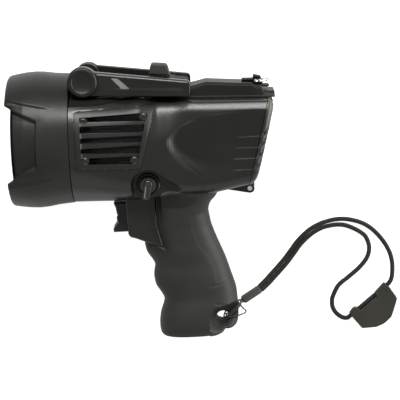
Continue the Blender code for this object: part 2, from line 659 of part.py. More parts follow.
def ear_outline():
    """One hinge ear with the wedge that carries it."""
    round_end = arc(DOOR_HINGE, KNUCKLE_RADIUS, 125.0, -108.0, 12)
    return round_end + [(100.3, -38.6), (100.3, -36.4), (112.6, -36.0)]


def make_housing(look):
    """Both halves of the housing, made as one form and parted at the middle plane."""
    nylon = look["nylon"]
    outer = [collar_ring(x, COLLAR_RADIUS) if x < 2.55 else barrel_ring(x)
             for x in BARREL_STATIONS]
    inner = [collar_ring(x, COLLAR_RADIUS - COLLAR_WALL) if x < 2.55 else barrel_ring(x, WALL)
             for x in BARREL_STATIONS]
    form = tube("housing_form", outer, inner, nylon, 40.0)
    low, high = POCKET_FLOOR - POCKET_PLATE, POCKET_FLOOR
    plate = [(39.0, -36.8), (64.0, -36.8), (64.0, -17.0), (39.0, -17.0)]
    trigger_box = prism("trigger_box_form", TRIGGER_BOX, -TRIGGER_BOX_HALF, TRIGGER_BOX_HALF, nylon)
    bevelled(trigger_box, 1.8)
    core = loft("grip_core_form", [grip_ring(s, GRIP_WALL + GAP)
                                   for s in GRIP_SECTIONS[CORE_TOP:CORE_FOOT + 1]], nylon, 40.0)
    join(form, trigger_box, core, prism("pocket_plate_left", plate, low, high, nylon))
    for side in (1.0, -1.0):
        ends = sorted((side * (KNUCKLE_HALF + GAP), side * EAR_FAR))
        join(form, prism("ear_form", ear_outline(), *ends, nylon))
    cut(form, box("trigger_cavity", (30.0, -63.8, -10.2), (50.4, -43.0, 10.2), nylon),
        rod("hinge_bore", HINGE_PIN_RADIUS + GAP, -12.0, 12.0, (*DOOR_HINGE, 0.0), (0, 0, 1),
            nylon, 16),
        rod("knuckle_room", KNUCKLE_RADIUS + GAP, -KNUCKLE_HALF - GAP, KNUCKLE_HALF + GAP,
            (*DOOR_HINGE, 0.0), (0, 0, 1), nylon, 22),
        prism("mode_pocket", pocket_outline(), POCKET_FLOOR, 50.0, nylon),
        rod("mode_shaft_bore", 2.4, 18.0, 30.0, (*DIAL_CENTRE, 0.0), (0, 0, 1), nylon, 16),
        prism("heel_room", shifted(HEEL_OUTLINE, GAP), -30.0, 30.0, nylon))
    for side in (1.0, -1.0):
        cut(form, *side_cutters(side, nylon))
    left = settled(form, "housing_left", 40.0)
    right = settled(form, "housing_right", 40.0)
    reach = (-60.0, -160.0), (160.0, 60.0)
    cut(left, box("part_left", (*reach[0], -60.0), (*reach[1], 0.5 * GAP), nylon))
    cut(right, box("part_right", (*reach[0], -0.5 * GAP), (*reach[1], 60.0), nylon))
    for x, y in HOUSING_SCREWS:
        surface = screw_surface(x, y)
        cut(right, rod("screw_seat", 3.3, -60.0, -(surface - 1.9), (x, y, 0.0), (0, 0, 1),
                       nylon, 16))


def screw_surface(x, y):
    """How far the right side stands from the middle plane where a clamshell screw sits."""
    return TRIGGER_BOX_HALF if y < -42.0 else side_at(x, y)


def side_cutters(side, look):
    """What opens and recesses one side of the barrel."""
    def drawn(name, outline, low, high):
        return prism(name, outline, *sorted((side * low, side * high)), look)

    seat = side_plate("grille_seat", shifted(GRILLE_FRAME, GAP), GRILLE_DEPTH + GAP, -6.0, side,
                      look)
    window = drawn("grille_window", shifted(GRILLE_OPENING, 1.2), 20.0, 60.0)
    recess = drawn("tail_recess", recess_outline(), RECESS_FLOOR, 50.0)
    tools = [seat, window, recess]
    for x, y in GROOVE_STARTS:
        groove = [(x, y), (x + 1.5, y - 0.5), (140.0, y - 0.5), (140.0, y + 0.5), (x + 1.5, y + 0.5)]
        tools.append(drawn("groove", groove, RECESS_FLOOR - 0.8, 50.0))
    return tools


def make_grilles(look):
    """A framed louvre plate on each side, with a round boss for each of its screws."""
    for side, label in ((1.0, "left"), (-1.0, "right")):
        plate = side_plate(f"grille_form_{label}", GRILLE_FRAME, GRILLE_DEPTH, 0.0, side,
                           look["nylon"])
        slots, bosses, rooms = [], [], []
        for (low_l, high_l), (low_r, high_r) in GRILLE_SLOTS:
            slot = [(GRILLE_OPENING[0][0], low_l), (rear_end(low_r), low_r),
                    (rear_end(high_r), high_r), (GRILLE_OPENING[0][0], high_l)]
            slots.append(prism("slot", slot, *sorted((side * 20.0, side * 60.0)), look["nylon"]))
        for i, (x, y) in enumerate(GRILLE_SCREWS):
            face = side_at(x, y)
            ends = sorted((side * (face - GRILLE_DEPTH + 0.1), side * (face - 1.0)))
            bosses.append(rod("boss", GRILLE_BOSS_RADIUS, *ends, (x, y, 0.0), (0, 0, 1),
                              look["nylon"], 12))
            rooms.append(turned("screw_room", [(-1.6, 0.0), (-1.6, 1.2), (-0.9, 1.2), (-0.9, 2.25),
                                               (9.0, 2.25), (9.0, 0.0)],
                                (x, y, side * face), (0, 0, side), look["nylon"], 10))
            centre = (x, y, side * (face - 0.9 + GAP))
            turned(f"grille_screw_{label}_{i + 1}",
                   [(-0.9, 0.0), (-0.9, 0.85), (0.0, 0.85), (0.0, 1.9), (0.3, 1.9), (0.6, 1.4),
                    (0.6, 0.0)], centre, (0, 0, side), look["screw"], 8)
        cut(plate, together("slots", slots, look["nylon"]))
        join(plate, together("bosses", bosses, look["nylon"]))
        cut(plate, together("screw_rooms", rooms, look["nylon"]))
        settled(plate, f"grille_{label}", 40.0)


def rear_end(y):
    """Where the grille's opening ends at a height."""
    (x0, y0), (x1, y1) = GRILLE_OPENING[1], GRILLE_OPENING[2]
    return x0 + (x1 - x0) * (y - y0) / (y1 - y0)


def make_housing_screws(look):
    for i, (x, y) in enumerate(HOUSING_SCREWS):
        face = -(screw_surface(x, y) - 1.9 + GAP)
        turned(f"housing_screw_{i + 1}", [(0.0, 0.0), (0.0, 2.9), (0.9, 2.9), (1.4, 2.2), (1.4, 0.9),
                                          (0.6, 0.9), (0.6, 0.0)],
               (x, y, face), (0, 0, -1), look["screw"], 10)


# Top cover and stand


def deck_edge(x):
    """Where the housing's deck meets its left side, at a true place along X."""
    station = x
    for _ in range(4):
        station -= barrel_point(station, along(station, COVER_EDGE)).x - x
    return barrel_point(station, along(station, COVER_EDGE))


def cover_ring(x):
    """The top cover's section: a ridge on two shoulders, flat underneath."""
    edge = deck_edge(x)
    foot = along(x, RIDGE_HALF)
    rise = along(x, SHOULDER_RISE)
    top = along(x, RIDGE_TOP)
    outer = max(foot + 0.2, edge.z - 4.6)
    half = [(edge.z - 0.05, edge.y + GAP), (outer, edge.y + GAP + 0.8 * rise),
            (foot, edge.y + GAP + rise), (foot - 0.9, top - 1.3), (foot - 2.6, top)]
    front = HEAD_LEAN * (1.0 - smooth_step((x - 3.6) / 12.0))
    left = [Vector((x + front * (y - edge.y), y, z)) for z, y in half]
    return left + [Vector((p.x, p.y, -p.z)) for p in reversed(left)]


def boss_outline():
    """A pivot boss with straight sides down into the cover."""
    return arc(STAND_PIVOT, BOSS_RADIUS, 0.0, 180.0, 13) + [(4.4, 30.0), (20.8, 30.0)]


def make_top_cover(look):
    cover = loft("cover_form", [cover_ring(x) for x in COVER_STATIONS], look["nylon"], 34.0)
    for side in (1.0, -1.0):
        ends = sorted((side * 14.0, side * (ARM_INNER - 0.4)))
        join(cover, prism("boss", boss_outline(), *ends, look["nylon"]))
    cut(cover, rod("pivot_bore", PIN_RADIUS + GAP, -24.0, 24.0, (*STAND_PIVOT, 0.0), (0, 0, 1),
                   look["nylon"], 20))
    cut(cover, box("latch_seat", (121.8, LATCH_SEAT, -LATCH_HALF - GAP),
                   (136.0, 50.0, LATCH_HALF + GAP), look["nylon"]))
    settled(cover, "top_cover", 34.0)


def arm_outline(radius):
    """One arm of the stand from its round hub to its blunt end."""
    hub = arc(STAND_PIVOT, radius, 46.0, 290.0, 17)
    low = arc((ARM_BOTTOM[1][0], ARM_BOTTOM[1][1] + ARM_END_RADIUS), ARM_END_RADIUS, -93.0, 0.0, 4)
    high = arc((ARM_TOP[0][0] - ARM_END_RADIUS + 1.6, ARM_TOP[0][1] - ARM_END_RADIUS),
               ARM_END_RADIUS, 0.0, 82.0, 4)
    return hub + low + high + [ARM_TOP[1]]


def make_stand(look):
    nylon = look["nylon"]
    arms = {}
    for side, label, radius in ((1.0, "left", HUB_RADII[0]), (-1.0, "right", HUB_RADII[1])):
        def drawn(name, outline, low, high):
            return prism(name, outline, *sorted((side * low, side * high)), nylon)

        arm = drawn(f"arm_form_{label}", arm_outline(radius), ARM_INNER, ARM_OUTER)
        bevelled(arm, 0.7, 1)
        cut(arm, drawn("arm_panel", ARM_PANEL, ARM_OUTER - 0.7, ARM_OUTER + 5.0),
            drawn("stripe_seat", shifted(STRIPE, GAP), ARM_OUTER - 1.5, ARM_OUTER + 5.0),
            rod("hub_bore", PIN_RADIUS + GAP, -40.0, 40.0, (*STAND_PIVOT, 0.0), (0, 0, 1), nylon,
                20))
        prism(f"stand_stripe_{label}", STRIPE, *sorted((side * (ARM_OUTER - 1.2),
                                                        side * (ARM_OUTER - 0.6))), look["stripe"])
        arms[label] = arm
    frame = arms["left"]
    join(frame, prism("crossbar", CROSSBAR, -ARM_INNER - 1.0, ARM_INNER + 1.0, nylon),
         prism("bridge", BRIDGE, -ARM_INNER - 1.0, ARM_INNER + 1.0, nylon), arms["right"])
    settled(frame, "stand_frame")
    tab = prism("stand_tab", TAB, -TAB_HALF, TAB_HALF, look["rubber"])
    bevelled(tab, 0.6, 1, 60.0)
    rod("stand_pivot_pin", PIN_RADIUS, -ARM_OUTER, ARM_OUTER, (*STAND_PIVOT, 0.0), (0, 0, 1),
        look["steel"], 20)
    for side, label, radius in ((1.0, "left", HUB_RADII[0]), (-1.0, "right", HUB_RADII[1])):
        rim = radius - 0.2
        knob = [(0.0, 0.0), (0.0, rim), (2.2, rim), (3.2, rim - 0.9), (3.2, rim - 2.6),
                (2.2, rim - 3.6), (1.8, 0.0)]
        turned(f"stand_knob_{label}", knob, (*STAND_PIVOT, side * (ARM_OUTER + GAP)),
               (0, 0, side), look["nylon"], 24)


# Grip


def make_grip(look):
    outer = [grip_ring(s) for s in GRIP_SECTIONS]
    grip = loft("grip_sleeve_form", outer, look["grip"], 40.0)
    inner_sections = list(GRIP_SECTIONS[:CORE_FOOT + 1])
    inner_sections[0] = (-30.0, *GRIP_SECTIONS[0][1:])
    inner_sections.append((-132.2, *GRIP_SECTIONS[CORE_FOOT + 1][1:]))
    room = loft("core_room", [grip_ring(s, GRIP_WALL) for s in inner_sections], look["grip"], 40.0)
    box_room = prism("trigger_box_room", shifted(TRIGGER_BOX, GAP), -TRIGGER_BOX_HALF - GAP,
                     TRIGGER_BOX_HALF + GAP, look["grip"])
    front_room = prism("front_room", TRIGGER_BOX_ROOM, -40.0, 40.0, look["grip"])
    barrel_room = loft("barrel_room", [barrel_ring(x, -GAP) for x in BARREL_STATIONS[2:]],
                       look["grip"], 40.0)
    heel_room = prism("heel_room", shifted(HEEL_OUTLINE, 0.5 * GAP), -30.0, 30.0, look["grip"])
    cut(grip, room, box_room, front_room, barrel_room, heel_room)
    settled(grip, "grip_sleeve", 40.0)
    heel = loft("grip_heel_form", outer, look["nylon"], 40.0)
    keep(heel, prism("heel_shape", shifted(HEEL_OUTLINE, -0.5 * GAP), -30.0, 30.0, look["nylon"]))
    for side in (1.0, -1.0):
        ends = sorted((side * HEEL_TAB_HALF, side * 40.0))
        cut(heel, prism("heel_hollow", HEEL_HOLLOW, *ends, look["nylon"]))
    long, tall = LANYARD_HOLE_SIZE
    hole = [(LANYARD_HOLE[0] + long * math.cos(a), LANYARD_HOLE[1] + tall * math.sin(a))
            for a in [2.0 * math.pi * i / 20 for i in range(20)]]
    cut(heel, prism("lanyard_hole", hole, -30.0, 30.0, look["nylon"]))
    settled(heel, "grip_heel", 40.0)


# Controls


def make_controls(look):
    dial = (*DIAL_CENTRE, 0.0)
    z = POCKET_FLOOR + GAP
    turned("mode_dial_ring", [(z, 5.9), (z, DIAL_RADIUS), (z + 1.6, DIAL_RADIUS), (z + 2.1, 7.1),
                              (z + 2.1, 6.3), (z + 1.6, 5.9)], dial, (0, 0, 1), look["nylon"], 20)
    lever = turned("mode_lever_form", [(19.5, 0.0), (19.5, 2.1), (z, 2.1), (z, 5.5), (z + 3.4, 5.5),
                                       (z + 4.2, 4.7), (z + 4.2, 0.0)], dial, (0, 0, 1),
                   look["nylon"], 24)
    head = arc((50.8, -28.6), 2.9, 0.0, 180.0, 7)
    tip = arc((48.9, -36.6), 2.6, 190.0, 350.0, 6)
    handle = prism("lever_handle", head + tip, z + 3.0, z + 6.2, look["nylon"])
    bevelled(handle, 0.6, 1)
    join(lever, handle)
    settled(lever, "mode_lever")
    trigger = prism("trigger", TRIGGER_OUTLINE, -TRIGGER_HALF, TRIGGER_HALF, look["nylon"])
    bevelled(trigger, 0.5, 1, 60.0)
    turned("trigger_spring", [(43.4, 1.6), (43.4, 3.2), (50.0, 3.2), (50.0, 1.6)],
           (0.0, -49.0, 0.0), (1, 0, 0), look["steel"], 16)
    box("trigger_switch", (47.6, -62.0, -4.0), (50.1, -55.0, 4.0), look["board"])


# Tail door, latch, batteries and boards


def make_tail_door(look):
    nylon = look["nylon"]
    rings = [barrel_ring(s, inset) for s, inset in DOOR_STATIONS]
    door = loft("door_form", rings, nylon, 40.0)
    join(door, prism("brow", DOOR_BROW, -24.0, 24.0, nylon))
    for side in (1.0, -1.0):
        ends = sorted((side * KNUCKLE_HALF, side * (EAR_FAR + GAP)))
        cut(door, rod("ear_room", KNUCKLE_RADIUS + GAP, *ends, (*DOOR_HINGE, 0.0), (0, 0, 1),
                      nylon, 22))
    knuckle = arc(DOOR_HINGE, KNUCKLE_RADIUS, 20.0, -200.0, 13)
    neck = [(116.0, -34.6), (119.4, -34.6)]
    join(door, prism("knuckle", knuckle + neck, -KNUCKLE_HALF, KNUCKLE_HALF, nylon))
    cut(door, rod("knuckle_bore", HINGE_PIN_RADIUS + GAP, -12.0, 12.0, (*DOOR_HINGE, 0.0),
                  (0, 0, 1), nylon, 16))
    post = [(113.7, -30.0), (113.7, 14.0), (129.5, 14.0), (117.8, -30.0)]
    for side in (1.0, -1.0):
        join(door, prism("contact_post", post, *sorted((side * 10.0, side * 13.0)), nylon))
        for x, y in GROOVE_STARTS:
            notch = [(118.0, y - 0.5), (140.0, y - 0.5), (140.0, y + 0.5), (118.0, y + 0.5)]
            cut(door, prism("notch", notch, *sorted((side * (RECESS_FLOOR - 0.8), side * 50.0)),
                            nylon))
    settled(door, "tail_door", 40.0)
    turned("door_hinge_pin", [(-EAR_FAR, HINGE_PIN_BORE), (-EAR_FAR, HINGE_PIN_RADIUS),
                              (EAR_FAR, HINGE_PIN_RADIUS), (EAR_FAR, HINGE_PIN_BORE)],
           (*DOOR_HINGE, 0.0), (0, 0, 1), look["steel"], 16)
    box("door_contact_plate", (112.2, -31.0, -22.0), (113.4, 15.0, 22.0), look["brass"])


def make_latch(look):
    bracket = prism("latch_bracket", LATCH_BRACKET, -LATCH_HALF, LATCH_HALF, look["screw"])
    axis = ((0.0, LATCH_AXIS_Y, 0.0), (1, 0, 0))
    cut(bracket, rod("stud_bore", 1.5, 123.2, 140.0, *axis, look["screw"], 12))
    for i, x in enumerate((123.6, 126.2)):
        turned(f"latch_screw_{i + 1}", [(0.0, 0.0), (0.0, 1.1), (0.6, 1.1), (0.9, 0.7), (0.9, 0.0)],
               (x, 32.0, LATCH_HALF + GAP), (0, 0, 1), look["steel"], 12)
    knob = [(124.0, 0.0), (124.0, 1.2), (127.5, 1.2), (127.5, 2.6), (127.9, LATCH_KNOB_RADIUS),
            (131.6, LATCH_KNOB_RADIUS), (132.6, 2.3), (132.9, 0.0)]
    turned("latch_knob", knob, *axis, look["steel"], 20)


def make_inside(look):
    for i in range(4):
        y = CELL_MIDDLE_Y + CELL_PITCH * (0.5 if i < 2 else -0.5)
        z = CELL_PITCH * (0.5 if i % 2 else -0.5)
        nub = CELL_FRONT - 1.8
        turned(f"battery_cell_{i + 1}", [(nub, 0.0), (nub, 3.6), (CELL_FRONT, 3.6),
                                         (CELL_FRONT, CELL_RADIUS),
                                         (CELL_FRONT + CELL_LENGTH, CELL_RADIUS),
                                         (CELL_FRONT + CELL_LENGTH, 0.0)],
               (0.0, y, z), (1, 0, 0), look["cell"], 14)
    box("front_contact_plate", (60.8, -32.0, -21.5), (62.2, 15.0, 21.5), look["brass"])
    box("driver_board", (52.0, -14.0, -19.0), (53.6, 16.0, 19.0), look["board"])


# Lanyard


def make_lanyard(look):
    cord("lanyard_cord", smooth_route(CORD_ROUTE, CORD_SPACING), CORD_RADIUS, look["cord"])
    along_ferrule = (Vector(FERRULE_TAIL) - Vector(FERRULE_NOSE)).normalized()
    turned("lanyard_ferrule", [(0.0, 0.0)] + FERRULE_SHAPE + [(FERRULE_SHAPE[-1][0], 0.0)],
           FERRULE_NOSE, along_ferrule, look["ferrule"], 12)
    strap = (smooth_route(STRAP_TO_SLIDER, STRAP_SPACING)
             + smooth_route(STRAP_FROM_SLIDER, STRAP_SPACING))
    cord("lanyard_strap", strap, STRAP_RADIUS, look["strap"])
    slider = prism("slider_form", SLIDER_OUTLINE, 0.0, SLIDER_THICKNESS, look["nylon"])
    bevelled(slider, 0.6, 1)
    start, end = Vector(STRAP_TO_SLIDER[-1]), Vector(STRAP_FROM_SLIDER[0])
    cut(slider, rod("slider_bore", SLIDER_BORE, 0.0, (end - start).length, start,
                    (end - start).normalized(), look["nylon"], 20))
    settled(slider, "lanyard_slider")


# Joints' axes and the rest pose

AXES = {
    "stand_axis": ((*STAND_PIVOT, 0.0), ["stand_frame", "stand_stripe_left", "stand_stripe_right",
                                         "stand_tab"]),
    "trigger_axis": ((*TRIGGER_AXIS, 0.0), ["trigger"]),
    "mode_axis": ((*DIAL_CENTRE, POCKET_FLOOR), ["mode_lever"]),
    "door_axis": ((*DOOR_HINGE, 0.0), ["tail_door", "door_contact_plate"]),
    "latch_axis": ((127.8, LATCH_AXIS_Y, 0.0), ["latch_knob"]),
}
ON_THE_SURFACE = ("lanyard_ferrule", "lanyard_strap", "slider_form", "slider_bore",
                  "lanyard_slider")


def empty(name, place):
    made = bpy.data.objects.new(name, None)
    made.location = [v * MM for v in place]
    made.empty_display_size = 0.01
    bpy.context.scene.collection.objects.link(made)
    return made


def lay_down():
    """Hangs every piece on its joint's axis, and the axes on the rest pose."""
    rest = empty("rest_pose", REST_PLACE)
    rest.rotation_euler = Euler((math.radians(REST_ROLL), math.radians(REST_YAW), 0.0))
    holders = {}
    for name, (place, pieces) in AXES.items():
        holder = empty(name, place)
        holder.parent = rest
        for piece in pieces:
            holders[piece] = (holder, place)
    for piece in list(bpy.data.objects):
        if piece.type == "EMPTY" or piece.name in ON_THE_SURFACE:
            continue
        if piece.name in holders:
            holder, place = holders[piece.name]
            piece.parent = holder
            piece.location = [-v * MM for v in place]
        else:
            piece.parent = rest


def main():
    for old in list(bpy.data.objects):
        bpy.data.objects.remove(old, do_unlink=True)
    look = looks()
    make_bezel(look)
    make_optics(look)
    make_heat_sink(look)
    make_housing(look)
    make_housing_screws(look)
    make_grilles(look)
    make_top_cover(look)
    make_stand(look)
    make_grip(look)
    make_controls(look)
    make_tail_door(look)
    make_latch(look)
    make_inside(look)
    make_lanyard(look)
    lay_down()


main()
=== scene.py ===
import bpy
import bmesh
import json
import math
import numpy as np
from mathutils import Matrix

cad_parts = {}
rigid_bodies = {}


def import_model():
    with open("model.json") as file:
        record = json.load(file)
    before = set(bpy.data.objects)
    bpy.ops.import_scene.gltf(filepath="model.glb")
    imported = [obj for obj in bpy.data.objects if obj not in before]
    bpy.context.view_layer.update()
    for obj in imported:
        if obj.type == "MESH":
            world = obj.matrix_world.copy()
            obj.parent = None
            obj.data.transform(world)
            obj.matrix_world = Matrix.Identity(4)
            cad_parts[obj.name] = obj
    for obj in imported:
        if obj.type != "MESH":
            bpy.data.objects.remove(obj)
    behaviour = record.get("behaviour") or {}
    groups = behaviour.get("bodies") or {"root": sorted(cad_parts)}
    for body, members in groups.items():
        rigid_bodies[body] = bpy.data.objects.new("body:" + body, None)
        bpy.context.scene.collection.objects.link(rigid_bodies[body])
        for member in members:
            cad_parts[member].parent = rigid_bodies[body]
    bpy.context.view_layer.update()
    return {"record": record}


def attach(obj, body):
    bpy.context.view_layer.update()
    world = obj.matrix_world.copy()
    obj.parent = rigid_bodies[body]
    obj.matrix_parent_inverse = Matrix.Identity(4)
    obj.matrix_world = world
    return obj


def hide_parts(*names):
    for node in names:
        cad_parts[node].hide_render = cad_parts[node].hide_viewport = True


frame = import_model()
print("frame loaded")

# Shapes are worked out in millimetres in the light's own axes: x to the rear along the beam,
# y to the top of the light, z to its left side. toWorld lays them down as the CAD lies.
restPose = {"roll": 7.19, "yaw": 4.86, "place": (-47.17, 43.22, 43.06)}
cameraView = {"place": (0.125331, 0.052470, 0.982024), "turn": (-3.5729, 5.2287, -2.9888),
              "lens": 129.5455, "sensor": 36.0}
mergeDistance = 1e-6        # metres
millimetre = 0.001          # metres


# The roll about x, then the yaw about y, as one matrix.
def restTurn():
    a, b = math.radians(restPose["roll"]), math.radians(restPose["yaw"])
    roll = np.array([[1, 0, 0], [0, math.cos(a), -math.sin(a)], [0, math.sin(a), math.cos(a)]])
    yaw = np.array([[math.cos(b), 0, math.sin(b)], [0, 1, 0], [-math.sin(b), 0, math.cos(b)]])
    return yaw @ roll


# Points times the turn, plus the place, in metres.
def toWorld(points):
    return (np.asarray(points, float) @ restTurn().T + np.array(restPose["place"])) * millimetre


# The place is in metres, the turn in degrees and the lens in millimetres.
def makeCamera():
    data = bpy.data.cameras.new("camera")
    data.lens = cameraView["lens"]
    data.sensor_width = cameraView["sensor"]
    made = bpy.data.objects.new("camera", data)
    made.location = cameraView["place"]
    made.rotation_euler = [math.radians(v) for v in cameraView["turn"]]
    bpy.context.scene.collection.objects.link(made)
    bpy.context.scene.camera = made


makeCamera()


# Four-sided faces of a grid of points, row after row.
def gridFaces(rows, columns, wrapRows=False, wrapColumns=False):
    r = np.arange(rows if wrapRows else rows - 1)[:, None]
    c = np.arange(columns if wrapColumns else columns - 1)[None, :]
    r2, c2 = (r + 1) % rows, (c + 1) % columns
    faces = np.stack(np.broadcast_arrays(r * columns + c, r * columns + c2, r2 * columns + c2,
                                         r2 * columns + c), -1)
    return faces.reshape(-1, 4).tolist()


# The two flat ends of a closed tube of rings.
def endFaces(rings, count):
    return [list(range(count)), [(rings - 1) * count + k for k in range(count)][::-1]]


# Puts several (points, faces) shells into one.
def together(*parts):
    points, faces, start = [], [], 0
    for p, f in parts:
        p = np.asarray(p, float).reshape(-1, 3)
        points.append(p)
        faces += [[i + start for i in face] for face in f]
        start += len(p)
    return np.concatenate(points), faces


# The same part on the other side of the middle plane.
def mirrored(part):
    points = np.array(part[0], float).reshape(-1, 3)
    points[:, 2] *= -1.0
    return points, [list(reversed(f)) for f in part[1]]


# A mesh object of a (points, faces) part. Lying parts are in the light's own axes. With a merge
# distance its doubles are merged and its faces turned outwards.
def makePiece(name, part, look, body, nodes=(), lying=True, tone=None, uv=None,
              sharp=35.0, merge=mergeDistance):
    points, faces = part
    points = np.asarray(points, float).reshape(-1, 3)
    mesh = bpy.data.meshes.new(name)
    places = toWorld(points) if lying else points * millimetre
    mesh.from_pydata(places.tolist(), [], faces)
    # Painted light and shade: a factor per point on the colour, kept as an attribute.
    if tone is not None:
        layer = mesh.attributes.new("tone", "FLOAT", "POINT")
        layer.data.foreach_set("value", np.asarray(tone, np.float32).ravel())
    if uv is not None:
        layer = mesh.uv_layers.new(name="UVMap")
        order = np.empty(len(mesh.loops), np.int32)
        mesh.loops.foreach_get("vertex_index", order)
        layer.data.foreach_set("uv", np.asarray(uv, np.float32).reshape(-1, 2)[order].ravel())
    if merge:
        bm = bmesh.new()
        bm.from_mesh(mesh)
        bmesh.ops.remove_doubles(bm, verts=bm.verts, dist=merge)
        bmesh.ops.recalc_face_normals(bm, faces=bm.faces)
        bm.to_mesh(mesh)
        bm.free()
    mesh.shade_smooth()
    mesh.set_sharp_from_angle(angle=math.radians(sharp))
    made = bpy.data.objects.new(name, mesh)
    bpy.context.scene.collection.objects.link(made)
    mesh.materials.append(look)
    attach(made, body)
    if nodes:
        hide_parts(*nodes)
    return made


# 0 to 1 with level ends: three t squared less two t cubed.
def ramp(t):
    t = np.clip(t, 0.0, 1.0)
    return t * t * (3.0 - 2.0 * t)


# The ramp from one value to another; with the larger one first it falls.
def rising(value, start, stop):
    return ramp((value - start) / (stop - start))


# A bell of height 1 round zero: e to the minus square.
def bell(distance, width):
    return np.exp(-(distance / width) ** 2)


# How far a quarter-round edge lies under its flat, at a distance in from the rim; 1 at the rim.
def edgeDrop(distance, radius):
    t = 1.0 - np.minimum(distance / radius, 1.0)
    return 1.0 - np.sqrt(np.clip(1.0 - t ** 2, 0.0, 1.0))


# A running mean with a bell-shaped weight, along the first axis.
def blurred(values, sigma, spacing, closed):
    reach = max(1, int(round(3.0 * sigma / spacing)))
    weights = np.exp(-0.5 * (np.arange(-reach, reach + 1) * spacing / sigma) ** 2)
    weights /= weights.sum()
    if closed:
        padded = np.concatenate([values[-reach:], values, values[:reach]])
    else:
        low = 2.0 * values[:1] - values[1:reach + 1][::-1]
        high = 2.0 * values[-1:] - values[-reach - 1:-1][::-1]
        padded = np.concatenate([low, values, high])
    return np.stack([np.convolve(padded[:, k], weights, "valid")
                     for k in range(values.shape[1])], -1)


# Points at an even spacing on the straight lines through the given ones.
def evenly(points, spacing=None, count=None, closed=False):
    p = np.asarray(points, float)
    if closed:
        p = np.concatenate([p, p[:1]])
    reach = np.concatenate([[0.0], np.cumsum(np.linalg.norm(np.diff(p, axis=0), axis=1))])
    if count is None:
        count = max(4, int(round(reach[-1] / spacing)) + (0 if closed else 1))
    at = np.linspace(0.0, reach[-1], count + (1 if closed else 0))[:count]
    return np.stack([np.interp(at, reach, p[:, k]) for k in range(p.shape[1])], -1)


# The length of the straight lines through the points.
def lengthOf(path):
    return float(np.sum(np.linalg.norm(np.diff(path, axis=0), axis=1)))


# A closed outline whose corners are rounded off by a blur of about half the radius.
def rounded(corners, radius, spacing=0.4):
    dense = evenly(corners, spacing, closed=True)
    return blurred(dense, 0.55 * radius, spacing, True) if radius > 0.0 else dense


# Straight lines between (place, value) pairs, carried on past both ends and blurred.
def smoothTable(stations, spread=3.0, beyond=30.0, step=0.25):
    s = np.array(stations, float)
    first = s[0] - (s[1] - s[0]) / (s[1][0] - s[0][0]) * beyond
    last = s[-1] + (s[-1] - s[-2]) / (s[-1][0] - s[-2][0]) * beyond
    s = np.vstack([first, s, last])
    places = np.arange(s[0][0], s[-1][0], step)
    values = np.interp(places, s[:, 0], s[:, 1])
    smooth = blurred(values[:, None], spread, step, False)[:, 0]
    return lambda x: np.interp(x, places, smooth)


# Distances from points to the segments from p to q: the foot of each is clipped to its segment.
def toSegments(x, y, p, q):
    ex, ey = (q - p).T
    wx, wy = x - p[:, 0], y - p[:, 1]
    t = np.clip((wx * ex + wy * ey) / (ex ** 2 + ey ** 2 + 1e-12), 0.0, 1.0)
    return np.sqrt(np.min((wx - t * ex) ** 2 + (wy - t * ey) ** 2, axis=1))


# Signed distance from points to a closed outline, positive inside, where a ray to the right
# crosses it an odd number of times.
def inside(x, y, outline):
    shape = np.shape(x)
    x, y = np.ravel(x)[:, None], np.ravel(y)[:, None]
    p = np.asarray(outline, float)
    q = np.roll(p, -1, axis=0)
    near = toSegments(x, y, p, q)
    ex, ey = (q - p).T
    crosses = (p[:, 1] <= y) != (q[:, 1] <= y)
    crosses &= x - p[:, 0] < (y - p[:, 1]) * ex / np.where(ey == 0, 1e-12, ey)
    return np.where(np.sum(crosses, axis=1) % 2 == 1, near, -near).reshape(shape)


# Distance from points to an open line of points.
def toLine(x, y, line):
    p = np.asarray(line, float)
    near = toSegments(np.ravel(x)[:, None], np.ravel(y)[:, None], p[:-1], p[1:])
    return near.reshape(np.shape(x))


# Points on an arc, at angles in degrees.
def arcPoints(centre, radius, start, stop, count):
    a = np.radians(np.linspace(start, stop, count))
    return [(centre[0] + radius * math.cos(v), centre[1] + radius * math.sin(v)) for v in a]


# An outline drawn out along z. Each rim is a quarter round: the outline is set in by one less
# sine and its level moves by one less cosine of an angle from 0 to 90 degrees.
def roundedSlab(outline, low, high, lowEdge, highEdge, steps=5, extra=0.35):
    p = np.asarray(outline, float)
    along = np.roll(p, -1, axis=0) - np.roll(p, 1, axis=0)
    along /= np.linalg.norm(along, axis=1)[:, None] + 1e-12
    out = np.stack([along[:, 1], -along[:, 0]], -1)
    area = 0.5 * np.sum(p[:, 0] * np.roll(p[:, 1], -1) - np.roll(p[:, 0], -1) * p[:, 1])
    if area < 0.0:
        out = -out
    t = np.linspace(0.0, 0.5 * math.pi, steps)
    insets = [lowEdge + extra] + list(lowEdge * (1.0 - np.sin(t)))
    levels = [low] + list(low + lowEdge * (1.0 - np.cos(t)))
    insets += list(highEdge * (1.0 - np.sin(t[::-1]))) + [highEdge + extra]
    levels += list(high - highEdge * (1.0 - np.cos(t[::-1]))) + [high]
    rings = [np.column_stack([p - out * inset, np.full(len(p), level)])
             for inset, level in zip(insets, levels)]
    count = len(p)
    faces = gridFaces(len(rings), count, wrapColumns=True)
    faces += [list(range(count))[::-1], [(len(rings) - 1) * count + i for i in range(count)]]
    return np.concatenate(rings), faces


